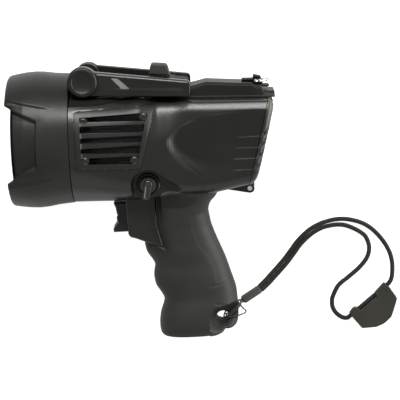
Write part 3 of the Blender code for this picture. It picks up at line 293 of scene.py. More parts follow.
# A slab on a grid of columns across x and rows from its lower to its upper edge; the outline may
# turn back along y only. Its front is the high level, less the rim's quarter round, less
# carve(x, y). Columns and rows stand closer at the ends.
def slabByColumns(outline, low, high, edge, carve=None, columns=200, rows=44):
    p = np.asarray(outline, float)
    i, j = int(np.argmin(p[:, 0])), int(np.argmax(p[:, 0]))
    p = np.roll(p, -i, axis=0)
    j = (j - i) % len(p)
    one, two = p[:j + 1], np.vstack([p[j:], p[:1]])[::-1]
    if one[:, 1].mean() > two[:, 1].mean():
        one, two = two, one
    t = np.linspace(0.0, 1.0, columns)
    share = 0.65 * t + 0.35 * (0.5 - 0.5 * np.cos(math.pi * t))
    x = p[0, 0] + (p[j, 0] - p[0, 0]) * share
    bottom, top = np.interp(x, one[:, 0], one[:, 1]), np.interp(x, two[:, 0], two[:, 1])
    v = np.linspace(0.0, 1.0, rows)
    v = 0.5 * (0.5 - 0.5 * np.cos(math.pi * v)) + 0.5 * v
    y = bottom[:, None] + (top - bottom)[:, None] * v[None, :]
    xx = np.broadcast_to(x[:, None], y.shape)
    drop = edge * edgeDrop(np.maximum(inside(xx, y, p), 0.0), edge)
    front = high - drop - (carve(xx, y) if carve else 0.0)
    near = np.stack([xx, y, front], -1)
    far = np.stack([xx, y, low + 0.5 * drop], -1)[:, ::-1]
    rings = np.concatenate([near, far], axis=1)
    count = rings.shape[1]
    return rings.reshape(-1, 3), gridFaces(columns, count, wrapColumns=True) + endFaces(columns,
                                                                                        count)


# (height, radius) pairs spun round the axis: a point is the centre, plus height times axis, plus
# radius times the two directions across it. radiusOf(height, angle) may scale the radius.
def turned(profile, centre, axis, steps=64, radiusOf=None):
    axis = np.asarray(axis, float) / np.linalg.norm(axis)
    helper = np.array((0.0, 1.0, 0.0)) if abs(axis[1]) < 0.9 else np.array((1.0, 0.0, 0.0))
    side = np.cross(axis, helper)
    side /= np.linalg.norm(side)
    up = np.cross(axis, side)
    a = 2.0 * math.pi * np.arange(steps) / steps
    h = np.array([q[0] for q in profile])[:, None]
    r = np.array([q[1] for q in profile])[:, None] * np.ones(steps)
    if radiusOf:
        r = r * radiusOf(h, a[None, :])
    points = (np.asarray(centre) + h[..., None] * axis
              + (r * np.cos(a))[..., None] * side + (r * np.sin(a))[..., None] * up)
    closed = profile[0][1] > 0.0
    faces = gridFaces(len(profile), steps, wrapRows=closed, wrapColumns=True)
    return points.reshape(-1, 3), faces


# A profile with its corners rounded; its two ends stay.
def softProfile(profile, radius=0.3, spacing=0.15):
    dense = evenly(profile, spacing)
    return [tuple(q) for q in blurred(dense, 0.5 * radius, spacing, False)]


# Points at an even spacing on the cubic through the route's points whose slope at each is half
# the step between its neighbours.
def smoothRoute(route, spacing, fineness=24):
    p = np.asarray(route, float)
    p = np.vstack([2.0 * p[0] - p[1], p, 2.0 * p[-1] - p[-2]])
    t = (np.arange(fineness) / fineness)[:, None]
    fine = [0.5 * (2.0 * b + (c - a) * t + (2.0 * a - 5.0 * b + 4.0 * c - d) * t ** 2
                   + (3.0 * b - a - 3.0 * c + d) * t ** 3)
            for a, b, c, d in zip(p, p[1:], p[2:], p[3:])]
    return evenly(np.vstack(fine + [p[-2:-1]]), spacing)


# A round cord carried along its path. Its radius is lifted by the larger of two cosines of
# length plus and less angle, which are the two crossing families of strands.
def braidedTube(path, radius, sides, relief, pitch, strands, flat=1.0):
    tangent = np.gradient(path, axis=0)
    tangent /= np.linalg.norm(tangent, axis=1)[:, None]
    normal = np.zeros_like(path)
    n = np.cross(tangent[0], (0.0, 0.0, 1.0))
    n = n / np.linalg.norm(n)
    for k, along in enumerate(tangent):         # the frame is carried on without twist
        n = n - along * (n @ along)
        n = n / np.linalg.norm(n)
        normal[k] = n
    other = np.cross(tangent, normal)
    a = 2.0 * math.pi * np.arange(sides) / sides
    reach = np.concatenate([[0.0], np.cumsum(np.linalg.norm(np.diff(path, axis=0), axis=1))])
    u, v = reach[:, None] / pitch, a[None, :] / (2.0 * math.pi)
    one = np.abs(np.cos(math.pi * (u + strands * v)))
    two = np.abs(np.cos(math.pi * (u - strands * v)))
    r = radius - relief + relief * np.maximum(one, two)
    points = (path[:, None] + (r * np.cos(a))[..., None] * normal[:, None]
              + (flat * r * np.sin(a))[..., None] * other[:, None])
    count = len(path)
    faces = gridFaces(count, sides, wrapColumns=True)
    faces += [list(range(sides))[::-1], [(count - 1) * sides + k for k in range(sides)]]
    uv = np.stack(np.broadcast_arrays(u * 0.1, v), -1)
    return (points.reshape(-1, 3), faces), uv


# Colour, roughness, grain size and grain depth in metres, and what else a finish has. patch is
# the swing of its slow colour patches; a finish that takes painted light and shade has its
# colour multiplied by the piece's painted light and shade.
finishes = {
    "soft_rubber": ((0.0170, 0.0164, 0.0132), 0.345, 0.0005, 0.00005,
                    {"toned": True, "specular": 0.26}),
    "black_nylon": ((0.0115, 0.0110, 0.0086), 0.26, 0.0006, 0.00004,
                    {"toned": True, "specular": 0.40}),
    "grip_rubber": ((0.0190, 0.0184, 0.0148), 0.55, 0.0004, 0.00005,
                    {"toned": True, "specular": 0.36}),
    "smooth_nylon": ((0.0100, 0.0096, 0.0076), 0.30, 0.0010, 0.00002, {"specular": 0.36}),
    "grille_nylon": ((0.0130, 0.0126, 0.0100), 0.36, 0.0006, 0.00005, {"specular": 0.36}),
    # painted shadow: near-black, dull walls for the grille's slots
    "slot_wall": ((0.004, 0.004, 0.0032), 0.5, 0.0007, 0.00002, {"specular": 0.06}),
    # painted shade: a darker copy of the black nylon for the cover, whose ridge catches the lamp
    "cover_nylon": ((0.0085, 0.0082, 0.0064), 0.42, 0.0006, 0.00004, {"specular": 0.16}),
    "stand_nylon": ((0.0090, 0.0088, 0.0070), 0.27, 0.0007, 0.00002, {"specular": 0.36}),
    # painted shade: a darker, duller copy of the stand's nylon for the bars between the arms
    "shaded_nylon": ((0.004, 0.004, 0.0032), 0.5, 0.0007, 0.00002, {"specular": 0.08}),
    "knob_nylon": ((0.0120, 0.0116, 0.0094), 0.33, 0.0008, 0.00002, {"specular": 0.28}),
    "lever_nylon": ((0.020, 0.0196, 0.0170), 0.22, 0.0008, 0.00002, {}),
    "tab_rubber": ((0.024, 0.0232, 0.0180), 0.60, 0.0005, 0.00005, {"specular": 0.36}),
    "clear_polycarbonate": ((0.97, 0.98, 0.99), 0.06, 0.002, 0.000004, {"patch": 0.01}),
    "vapour_chrome": ((0.88, 0.88, 0.89), 0.07, 0.0015, 0.000006,
                      {"patch": 0.02, "metallic": 1.0}),
    "black_anodised": ((0.035, 0.035, 0.037), 0.36, 0.0007, 0.00002, {"metallic": 0.8}),
    "circuit_board": ((0.015, 0.11, 0.045), 0.40, 0.0009, 0.00003, {}),
    "led_phosphor": ((0.82, 0.66, 0.10), 0.35, 0.0005, 0.00002, {}),
    "bright_steel": ((0.78, 0.78, 0.79), 0.24, 0.0005, 0.00001,
                     {"patch": 0.05, "metallic": 1.0}),
    "knob_steel": ((0.60, 0.60, 0.59), 0.20, 0.0005, 0.00001, {"patch": 0.05, "metallic": 1.0}),
    "black_screw": ((0.06, 0.06, 0.057), 0.30, 0.0005, 0.00001, {"metallic": 0.9}),
    "latch_black": ((0.005, 0.005, 0.004), 0.55, 0.0006, 0.00002, {"specular": 0.06}),
    "contact_brass": ((0.70, 0.53, 0.22), 0.33, 0.0006, 0.00001,
                      {"patch": 0.1, "metallic": 1.0}),
    "battery_wrap": ((0.05, 0.05, 0.06), 0.33, 0.0012, 0.00001, {}),
    "silicone_seal": ((0.045, 0.045, 0.05), 0.55, 0.0006, 0.00004, {}),
    "grey_stripe": ((0.17, 0.17, 0.165), 0.42, 0.0005, 0.00003, {}),
    "grey_ferrule": ((0.050, 0.049, 0.041), 0.45, 0.0005, 0.00003, {"specular": 0.36}),
    "grey_slider": ((0.028, 0.026, 0.020), 0.42, 0.0007, 0.00004, {"specular": 0.36}),
    "cord_braid": ((0.026, 0.022, 0.013), 0.75, 0.00025, 0.00006,
                   {"patch": 0.3, "sheen": 0.15}),
    "strap_braid": ((0.0150, 0.0150, 0.0108), 0.66, 0.0003, 0.00008,
                    {"patch": 0.35, "specular": 0.22, "sheen": 0.05}),
}
grainForm = {"patchScale": 38.0, "patchDetail": 3.0, "patchEnds": (0.3, 0.7),
             "fineDetail": 2.0, "fineRoughness": 0.6, "glossSwing": 0.05, "leastGloss": 0.02,
             "clearIndex": 1.58}


# A shader node; each value goes to the socket of that name, or else to the node itself.
def node(tree, kind, **values):
    made = tree.nodes.new(kind)
    for key, value in values.items():
        if key in made.inputs:
            made.inputs[key].default_value = value
        else:
            setattr(made, key, value)
    return made


# A moulded or cast surface: fine grain in the bump, slow patches in colour and gloss.
def moulded(name, colour, roughness, grain, depth, patch=0.18, metallic=0.0, specular=0.5,
            sheen=0.0, toned=False):
    look = bpy.data.materials.new(name)
    look.use_nodes = True
    tree = look.node_tree
    shader = tree.nodes["Principled BSDF"]
    shader.inputs["Metallic"].default_value = metallic
    shader.inputs["Specular IOR Level"].default_value = specular
    shader.inputs["Sheen Weight"].default_value = sheen
    place = node(tree, "ShaderNodeTexCoord")
    slow = node(tree, "ShaderNodeTexNoise", Scale=grainForm["patchScale"],
                Detail=grainForm["patchDetail"])
    fine = node(tree, "ShaderNodeTexNoise", Scale=1.0 / grain, Detail=grainForm["fineDetail"],
                Roughness=grainForm["fineRoughness"])
    for texture in (slow, fine):
        tree.links.new(place.outputs["Object"], texture.inputs["Vector"])
    tint = node(tree, "ShaderNodeValToRGB")
    for end, at, swing in zip(tint.color_ramp.elements, grainForm["patchEnds"],
                              (1.0 - patch, 1.0 + patch)):
        end.position = at
        end.color = (*[min(1.0, c * swing) for c in colour], 1.0)
    tree.links.new(slow.outputs["Fac"], tint.inputs["Fac"])
    colourOut = tint.outputs["Color"]
    # Painted light and shade: the colour is multiplied by the piece's attribute of that name.
    if toned:
        attribute = node(tree, "ShaderNodeAttribute", attribute_name="tone")
        mix = node(tree, "ShaderNodeMix", data_type="RGBA", blend_type="MULTIPLY")
        mix.inputs["Factor"].default_value = 1.0
        tree.links.new(colourOut, mix.inputs["A"])
        tree.links.new(attribute.outputs["Color"], mix.inputs["B"])
        colourOut = mix.outputs["Result"]
    tree.links.new(colourOut, shader.inputs["Base Color"])
    gloss = node(tree, "ShaderNodeMapRange")
    gloss.inputs["To Min"].default_value = max(grainForm["leastGloss"],
                                               roughness - grainForm["glossSwing"])
    gloss.inputs["To Max"].default_value = roughness + grainForm["glossSwing"]
    tree.links.new(slow.outputs["Fac"], gloss.inputs["Value"])
    tree.links.new(gloss.outputs["Result"], shader.inputs["Roughness"])
    bump = node(tree, "ShaderNodeBump", Strength=1.0, Distance=depth)
    tree.links.new(fine.outputs["Fac"], bump.inputs["Height"])
    tree.links.new(bump.outputs["Normal"], shader.inputs["Normal"])
    return look


looks = {name: moulded(name, *row[:4], **row[4]) for name, row in finishes.items()}
clearShader = looks["clear_polycarbonate"].node_tree.nodes["Principled BSDF"]
clearShader.inputs["Transmission Weight"].default_value = 1.0
clearShader.inputs["IOR"].default_value = grainForm["clearIndex"]
print("finishes made")

# The cord is in the light's own axes. The strap, ferrule and slider lie on the floor, in the
# world's axes, in millimetres.
lanyard = {
    "cordRadius": 0.5, "cordBraid": {"sides": 10, "relief": 0.07, "pitch": 1.0, "strands": 2},
    "strapRadius": 1.55, "strapBraid": {"sides": 24, "relief": 0.14, "pitch": 1.5,
                                        "strands": 4, "flat": 0.87},
    "cordStep": 0.3, "strapStep": 0.36, "routeStep": 0.35,
    "cord": [(106.4, -122.3, -16.0), (105.6, -122.6, -15.0), (105.8, -122.3, -12.0),
             (106.3, -121.0, -7.0), (106.4, -119.9, -2.5), (106.3, -119.0, 2.0),
             (105.9, -118.7, 6.4), (104.9, -119.3, 7.7), (103.4, -120.5, 7.7),
             (99.6, -123.5, 7.7), (98.3, -124.3, 7.6), (96.8, -125.2, 7.0), (95.6, -126.2, 5.0),
             (95.2, -126.9, 2.0), (95.4, -126.5, -3.0), (96.4, -125.2, -6.4),
             (98.0, -124.1, -7.8), (101.0, -121.9, -7.9), (104.8, -118.8, -7.9),
             (106.6, -117.5, -6.8), (107.4, -117.0, -2.0), (107.2, -116.7, 4.0),
             (106.6, -117.2, 8.0), (108.2, -120.2, 5.6), (110.1, -123.1, 1.5),
             (109.6, -124.3, 2.5), (107.0, -124.4, 6.0), (105.3, -124.5, 7.5),
             (103.9, -124.6, 7.8), (99.8, -125.2, 7.8), (98.2, -125.4, 7.6), (97.1, -125.3, 6.2),
             (96.8, -124.3, 4.8), (96.7, -123.4, 5.6), (97.2, -122.9, 7.3), (99.2, -122.2, 7.9),
             (103.0, -119.2, 7.8), (104.9, -117.8, 7.8), (105.9, -117.3, 6.3),
             (106.3, -117.8, 2.0), (106.4, -118.6, -2.5), (106.1, -119.9, -7.0),
             (105.5, -121.2, -12.0), (105.2, -121.6, -15.2), (105.9, -121.3, -16.2)],
    "nose": (56.7, -75.25, 3.0), "tail": (70.15, -67.09, 3.0),
    "ferrule": [(0.0, 0.0), (0.0, 1.0), (0.2, 1.3), (1.7, 1.5), (2.4, 2.5), (3.3, 2.9),
                (15.2, 2.9), (16.2, 2.5), (16.5, 2.2), (16.5, 0.0)],
    "ridges": {"depth": 0.2, "count": 3.0, "power": 1.5, "from": 2.6, "to": 15.9},
    "toSlider": [(69.9, -65.5, 2.9), (74.6, -61.2, 1.9), (78.9, -56.9, 1.5), (87.2, -48.3, 1.5),
                 (92.6, -41.8, 1.5), (98.1, -35, 1.5), (105.7, -28.3, 1.5), (113, -24.4, 1.5),
                 (118.9, -22.6, 1.5), (124.7, -21.6, 1.5), (130.1, -21.6, 1.5),
                 (135.5, -22.6, 1.5), (140.8, -24.3, 1.5), (146, -27.2, 1.5),
                 (151.2, -31.9, 1.5), (156.3, -38.6, 1.5), (159.7, -45.6, 1.5),
                 (161.1, -52.4, 1.7), (160.9, -59.1, 2.1), (160, -63.7, 2.4),
                 (158.1, -66.7, 2.55)],
    "fromSlider": [(129.5, -89.05, 2.55), (126.9, -89, 2.4), (123.9, -87.5, 2.1),
                   (121.1, -84.7, 1.7), (119.5, -81.4, 1.5), (119.3, -78.1, 1.5),
                   (119.8, -74.7, 1.5), (123.2, -68, 1.5), (126.4, -64.7, 1.5),
                   (131, -61.4, 1.5), (139, -54.9, 1.5), (144.4, -48.3, 1.5),
                   (146.1, -41.6, 1.5), (144.3, -34.7, 1.5), (140.5, -30.9, 1.5),
                   (135.2, -27.8, 1.5), (129.9, -25.8, 1.5), (124.5, -25.3, 1.5),
                   (119.2, -25.9, 1.5), (114.2, -27.2, 1.5), (107.5, -30.8, 1.5),
                   (100.2, -37.1, 1.5), (94.9, -43.7, 1.5), (89.4, -50.4, 1.5), (81.1, -59, 1.5),
                   (76.7, -63.4, 1.9), (71.5, -67.9, 2.9)],
    "slider": [(154.9, -65.6), (158.7, -69.5), (163.5, -76.9), (161, -84.2), (159, -89.4),
               (153.7, -94), (148.4, -96), (138.9, -96.5), (130.3, -85.7), (133.5, -81.8),
               (136, -81.8), (138.1, -84.45), (149.9, -75.25), (147.9, -72.7), (150, -70.6)],
    "sliderHeight": 5.1, "sliderRims": (0.5, 0.6), "sliderCorner": 1.3,
}


# Hollows along the ferrule: a cosine of the angle taken off its radius.
def ferruleRidges(height, angle):
    r = lanyard["ridges"]
    scale = 1.0 - r["depth"] * np.abs(np.cos(r["count"] * angle)) ** r["power"]
    return np.where((height > r["from"]) & (height < r["to"]), scale, 1.0)


# Cord and strap are braided tubes along their smooth routes, the ferrule is a spun profile and
# the slider an outline drawn out upwards.
def makeLanyard():
    cordPath = toWorld(smoothRoute(lanyard["cord"], lanyard["cordStep"])) / millimetre
    part, uv = braidedTube(cordPath, lanyard["cordRadius"], **lanyard["cordBraid"])
    cord = makePiece("lanyardCord", part, looks["cord_braid"], "light", ["lanyard_cord"],
                     lying=False, uv=uv, merge=None)
    strapPath = np.vstack([smoothRoute(lanyard[key], lanyard["routeStep"])
                           for key in ("toSlider", "fromSlider")])
    strapPath = evenly(strapPath, lanyard["strapStep"])
    part, uv = braidedTube(strapPath, lanyard["strapRadius"], **lanyard["strapBraid"])
    strap = makePiece("lanyardStrap", part, looks["strap_braid"], "light", ["lanyard_strap"],
                      lying=False, uv=uv, merge=None)
    nose, tail = np.array(lanyard["nose"]), np.array(lanyard["tail"])
    body = turned(softProfile(lanyard["ferrule"], 0.4), nose, tail - nose, 144, ferruleRidges)
    ferrule = makePiece("lanyardFerrule", body, looks["grey_ferrule"], "light",
                        ["lanyard_ferrule"], lying=False)
    outline = rounded(lanyard["slider"], lanyard["sliderCorner"], 0.3)
    body = roundedSlab(outline, 0.0, lanyard["sliderHeight"], *lanyard["sliderRims"], extra=0.1)
    slider = makePiece("lanyardSlider", body, looks["grey_slider"], "light", ["lanyard_slider"],
                       lying=False)


makeLanyard()
print("lanyard made")

# The barrel's form, shared by the housing, the cover, the grilles and the door. Its tables give
# a value at each station x; the two exponents square its section off below and above the middle.
barrel = {
    "halfWidth": [(2, 42.3), (20, 40.4), (40, 37.2), (60, 33.6), (80, 31.8), (100, 31.2),
                  (131, 30.4)],
    "top": [(2, 42.3), (14, 37.5), (26, 32.8), (40, 29.2), (60, 26.2), (85, 23.6), (131, 21.4)],
    "bottom": [(2, -42.3), (30, -42.4), (60, -41.0), (92, -39.2), (108, -37.4), (124, -34.9),
               (131, -34.2)],
    "squareness": [(2, 2.0), (20, 2.25), (40, 2.9), (60, 3.8), (85, 4.8), (131, 5.0)],
    "crown": [(2, 2.0), (20, 2.25), (40, 3.0), (52, 5.0), (60, 8.0), (75, 10.0), (131, 11.0)],
    "coverEdge": [(2, 34.6), (20, 42.0), (30, 49.0), (45, 64.7), (60, 82.7), (80, 87.4),
                  (131, 88.5)],
    "chamfer": {"slope": 0.58, "below": 6.8, "soft": 1.2, "along": (60.0, 78.0),
                "across": (17.0, 21.0)},
    "waist": {"slope": 0.34, "level": 1.0, "blend": 12.0, "in": (46.0, 60.0),
              "out": (84.0, 66.0), "across": (20.0, 26.0)},
    "headLean": 0.024, "headFade": (2.6, 32.6), "rearSlope": 0.265, "rearFade": (84.0, 122.0),
}
halfWidthAt, topAt, bottomAt, squarenessAt, crownAt, coverEdgeAt = [
    smoothTable(barrel[key], 2.5)
    for key in ("halfWidth", "top", "bottom", "squareness", "crown", "coverEdge")]


# How far the section at a station leans back for each millimetre of height.
def leanAt(s):
    front = barrel["headLean"] * (1.0 - rising(s, *barrel["headFade"]))
    return front + barrel["rearSlope"] * rising(s, *barrel["rearFade"])


# A slanted facet between the grille and the recess: half the slope times (rise plus the root of
# rise squared plus the blend), which is flat below its level and straight above it.
def waistDepth(s, y, z):
    w = barrel["waist"]
    rise = y - w["level"]
    deep = 0.5 * w["slope"] * (rise + np.sqrt(rise ** 2 + w["blend"]))
    return deep * rising(s, *w["in"]) * rising(s, *w["out"]) * rising(z, *w["across"])


# Along the tail's shoulder a slanted plane takes the corner off, by a soft minimum of the two.
def chamferDepth(s, y, z, inset=0.0):
    c = barrel["chamfer"]
    plane = halfWidthAt(s) - inset - c["slope"] * (y - topAt(s) + c["below"])
    least = 0.5 * (z + plane - np.sqrt((z - plane) ** 2 + c["soft"] ** 2))
    return np.maximum(z - least, 0.0) * rising(s, *c["along"]) * rising(z, *c["across"])


# The barrel's section at a station: a super-ellipse, cosine and sine to the power of two over
# the exponent, which leans back with its height.
def section(s, inset, angles):
    a = np.radians(angles)
    power = 2.0 / np.where(np.sin(a) > 0.0, crownAt(s), squarenessAt(s))
    middle, tall = 0.5 * (topAt(s) + bottomAt(s)), 0.5 * (topAt(s) - bottomAt(s)) - inset
    z = np.sign(np.cos(a)) * np.abs(np.cos(a)) ** power * (halfWidthAt(s) - inset)
    y = middle + np.sign(np.sin(a)) * np.abs(np.sin(a)) ** power * tall
    side = np.abs(z)
    side = side - chamferDepth(s, y, side, inset)
    z = np.sign(z) * (side - waistDepth(s, y, side))
    return np.stack([s + leanAt(s) * y, y, z], -1)


# How far the barrel's side stands from the middle plane: the same super-ellipse solved for z.
def sideAt(x, y):
    middle, tall = 0.5 * (topAt(x) + bottomAt(x)), 0.5 * (topAt(x) - bottomAt(x))
    power = np.where(np.asarray(y) > middle, crownAt(x), squarenessAt(x))
    rest = 1.0 - np.minimum(1.0, np.abs((y - middle) / tall)) ** power
    wide = halfWidthAt(x) * rest ** (1.0 / power)
    wide = wide - chamferDepth(x, y, wide)
    return wide - waistDepth(x, y, wide)


# A corner is a radius and the spacing of its points, an arc its first and last angle and how
# many points it has, a grid its columns and rows; a pair of levels is where a ramp starts and
# stops, with the height or painted shade that it leads to before it.
sideForms = {
    "grilleFrame": [(6.6, -15.6), (46.6, -17.6), (57.6, 22.2), (6.6, 21.0)],
    "grilleOpening": [(9.9, -12.2), (44.9, -14.0), (52.6, 17.8), (9.9, 17.2)],
    "seatCorner": (1.6, 0.5), "seatRim": (0.12, -0.9, 0.0), "seatDepth": (2.3, 0.15, 0.65),
    "seatShade": (-0.9, -0.4),
    "recessOuter": [(145.0, 16.6), (126.6, 16.6), (99.7, 15.9), (81.2, 12.7), (68.7, 7.4),
                    (62.9, -0.2), (64.7, -7.8), (70.4, -16.2), (79.5, -24.0), (89.0, -29.4),
                    (104.0, -33.0), (145.0, -34.5)],
    "recessInner": [(145.0, 14.9), (126.5, 14.9), (99.6, 13.8), (84.2, 11.3), (73.5, 6.6),
                    (69.1, -1.1), (72.0, -8.0), (82.0, -14.0), (92.0, -15.6), (145.0, -13.0)],
    "recessFloor": 29.6, "recessCorner": (4.0, 1.0), "recessEvenness": 0.6,
    "crease": [(73.6, -12.6), (79.0, -18.4), (85.6, -24.4)],
    "creaseDepth": 0.12, "creaseWidth": 0.6, "creaseFade": (0.45, 0.75),
    "creaseShade": (0.8, 0.7),
    "grooves": [(108.6, -0.8), (106.4, -7.8), (105.4, -14.8), (105.0, -22.0)],
    "grooveStart": 1.5, "grooveWidth": (0.50, 0.5), "grooveDepth": (0.33, 1.5),
    "hookFrom": 124.0, "hookLength": 4.6, "hookRise": 2.4, "hookMost": 1.6,
    "dial": (50.5, -29.6), "pocketRadius": 11.0, "pocketArc": (200.0, 50.0, 22),
    "pocketFloor": 25.0, "pocketRise": 5.0,
    "pocketRiseAt": (62.0, 76.0),
    "pocketEnd": [(62.0, -25.0), (71.1, -31.1), (79.0, -37.4), (79.0, -60.0), (39.4, -60.0),
                  (39.4, -40.0)],
    "screws": [(16.0, -27.0), (98.0, -31.5), (114.0, 18.6)], "boxScrew": (42.0, -50.0),
    "screwSeat": 1.9, "screwSeatRadius": (3.5, 3.1),
}


# A round seat for a screw's head, as a depth.
def screwSeat(x, y, centre):
    away = np.hypot(x - centre[0], y - centre[1])
    return sideForms["screwSeat"] * rising(away, *sideForms["screwSeatRadius"])


# What the pocket round the mode dial takes off the left side, down to its slowly rising floor.
def pocketDepth(x, y, z):
    shape = arcPoints(sideForms["dial"], sideForms["pocketRadius"], *sideForms["pocketArc"])
    d = inside(x, y, np.array(shape + sideForms["pocketEnd"]))
    floor = sideForms["pocketFloor"] + sideForms["pocketRise"] * rising(
        x, *sideForms["pocketRiseAt"])
    return np.maximum(z - floor, 0.0) * ramp(d)


# Four finger grooves: a bell across each line, which rises with the square of how far it is past
# the start of the tail's rear edge, and gets wider and deeper there. Also the painted shade
# in the hook.
def grooveDepth(x, y):
    f = sideForms
    depth, shade = np.zeros_like(x), np.zeros_like(x)
    for gx, gy in f["grooves"]:
        start = f["hookFrom"] + barrel["rearSlope"] * gy
        hook = np.clip((x - start) / f["hookLength"], 0.0, f["hookMost"])
        line = gy + f["hookRise"] * hook ** 2
        cut = bell(y - line, f["grooveWidth"][0] + f["grooveWidth"][1] * hook)
        cut = cut * ramp((x - gx) / f["grooveStart"])
        depth = np.maximum(depth, (f["grooveDepth"][0] + f["grooveDepth"][1] * ramp(hook)) * cut)
        shade = np.maximum(shade, cut * ramp(2.0 * hook))
    return depth, shade


# 0 on the side, 1 on the floor of the tail's recess; between its two outlines, the distance from
# the outer one over the sum of both distances.
def recessShare(x, y):
    outer = inside(x, y, rounded(sideForms["recessOuter"], *sideForms["recessCorner"]))
    inner = inside(x, y, rounded(sideForms["recessInner"], *sideForms["recessCorner"]))
    t = np.clip(outer / np.maximum(outer - np.minimum(inner, 0.0), 1e-6), 0.0, 1.0)
    even = sideForms["recessEvenness"]
    return np.where(outer <= 0.0, 0.0, even * t + (1.0 - even) * ramp(t))


# Everything that is sunk into one side of the barrel: its depth in millimetres, the recess's
# share, and the painted shade in its creases, round the grille's seat and in the hooks.
def sideDepth(x, y, z, left):
    f = sideForms
    share = recessShare(x, y)
    grooves, hooks = grooveDepth(x, y)
    crease = toLine(x, y, f["crease"])
    depth = np.maximum(z - f["recessFloor"], 0.0) * share + grooves
    depth = depth + f["creaseDepth"] * bell(crease, f["creaseWidth"]) * rising(
        share, *f["creaseFade"])
    seat = inside(x, y, rounded(f["grilleFrame"], *f["seatCorner"]))
    depth = np.maximum(depth, f["seatRim"][0] * rising(seat, *f["seatRim"][1:])
                       + f["seatDepth"][0] * rising(seat, *f["seatDepth"][1:]))
    if left:
        depth = np.maximum(depth, pocketDepth(x, y, z))
    else:
        for centre in f["screws"]:
            depth = np.maximum(depth, screwSeat(x, y, centre))
    # Painted shade: darker in the crease, in a thin line round the grille's seat and in the
    # hooks.
    shade = f["creaseShade"][0] * bell(crease, f["creaseShade"][1])
    shade = shade + rising(seat, *f["seatShade"]) + hooks
    return depth, share, np.minimum(shade, 1.0)


# Resamples a section: by length above and below, by height between the two levels.
def ringBySides(fine, high, low, counts):
    y = fine[:, 1]
    i, j = int(np.searchsorted(-y, -high)), int(np.searchsorted(-y, -low))
    levels = np.linspace(high, low, counts[1])
    side = np.stack([np.interp(-levels, -y, fine[:, k]) for k in range(3)], -1)
    top = evenly(np.vstack([fine[:i], side[:1]]), count=counts[0] + 1)[:-1]
    return np.vstack([top, side, evenly(np.vstack([side[-1:], fine[j:]]),
                                        count=counts[2] + 1)[1:]])


housing = {
    "reach": (2.6, 124.3), "columns": 244, "counts": (46, 150, 44), "deck": 8,
    "sideLevels": (23.2, -27.0), "underTop": 6.5, "seam": 0.15,
    "collarAt": (-8.0, 2.5), "collarRadius": 39.0, "facing": (12.0, 18.0),
    "windowCorner": (1.0, 0.5), "windowMargin": 1.0, "windowSide": 5.0,
    "recessFloorPaintedShade": 0.35, "recessSlopePaintedLight": (90.0, 76.0), "seamPaintedShade": 0.7,
    "box": [(34.6, -40.4), (35.0, -64.2), (36.4, -66.2), (40.0, -67.2), (44.8, -69.3),
            (58.0, -73.8), (54.6, -58.5), (54.6, -38.0), (34.6, -38.0)],
    "boxCorner": (1.4, 0.4), "boxGrid": (110, 130), "boxHalf": 15.5, "boxEdge": 1.9,
    "boxRear": 54.6, "boxRearSwing": (3.4, -56.0, -74.0),
    "boxShade": (0.6, -7.0, 0.0), "boxTop": -38.0,
    "hinge": (116.6, -38.9), "earRadius": 3.1, "earHole": 1.62, "earSides": (3.7, 6.3),
    "earArc": (125.0, -108.0, 24), "earCorner": (0.3, 0.3), "earEdge": 0.3,
    "earRoot": [(100.3, -38.6), (100.3, -36.0), (112.6, -35.6)],
}


# One half of the housing, from the middle of its deck round the side to the middle plane below.
# At each station the section's side is moved in by everything that sideDepth sinks into it.
def housingShell(left):
    stations = np.concatenate([np.full(2, housing["reach"][0]),
                               np.linspace(*housing["reach"], housing["columns"])])
    rings, seam, deck = [], housing["seam"], housing["deck"]
    for k, s in enumerate(stations):
        fine = section(s, 0.0, np.linspace(coverEdgeAt(s), -90.0, 900))
        high = min(housing["sideLevels"][0], float(topAt(s)) - housing["underTop"])
        half = ringBySides(fine, high, housing["sideLevels"][1], housing["counts"])
        top = np.linspace((half[0, 0], half[0, 1], seam), half[0], deck + 1)[:-1]
        ring = np.vstack([top, half])
        ring[:, 2] = np.maximum(ring[:, 2], seam)
        if k < 2:                               # the collar that enters the bezel
            scale = housing["collarRadius"] / np.hypot(ring[:, 1], ring[:, 2])
            ring[:, 1:] *= np.minimum(scale, 1.0)[:, None]
            ring[:, 0] = housing["collarAt"][k] + barrel["headLean"] * ring[:, 1]
        rings.append(ring)
    p = np.stack(rings)
    x, y, z = p[..., 0], p[..., 1], p[..., 2]
    depth, share, shade = sideDepth(x, y, z, left)
    facing = rising(z, *housing["facing"])
    depth[:2] = 0.0
    p[..., 2] = z - depth * facing
    window = inside(x, y, rounded(sideForms["grilleOpening"], *housing["windowCorner"]))
    window = window > -housing["windowMargin"]
    window[:3] = False
    # Painted shade and light: the recess's floor is darker and its slope lighter, and creases,
    # the seat's outline and the hooks are darker still.
    slope = 4.0 * share * (1.0 - share) * rising(x, *housing["recessSlopePaintedLight"])
    tone = 1.0 - housing["recessFloorPaintedShade"] * share * facing + slope * facing
    tone = tone * (1.0 - housing["seamPaintedShade"] * shade * facing)
    faces = np.array(gridFaces(len(stations), sum(housing["counts"]) + deck))
    isOpen = window.ravel()[faces].all(axis=1)
    isOpen &= z.ravel()[faces].min(axis=1) > housing["windowSide"]
    return p.reshape(-1, 3), faces[~isOpen].tolist(), tone.ravel()


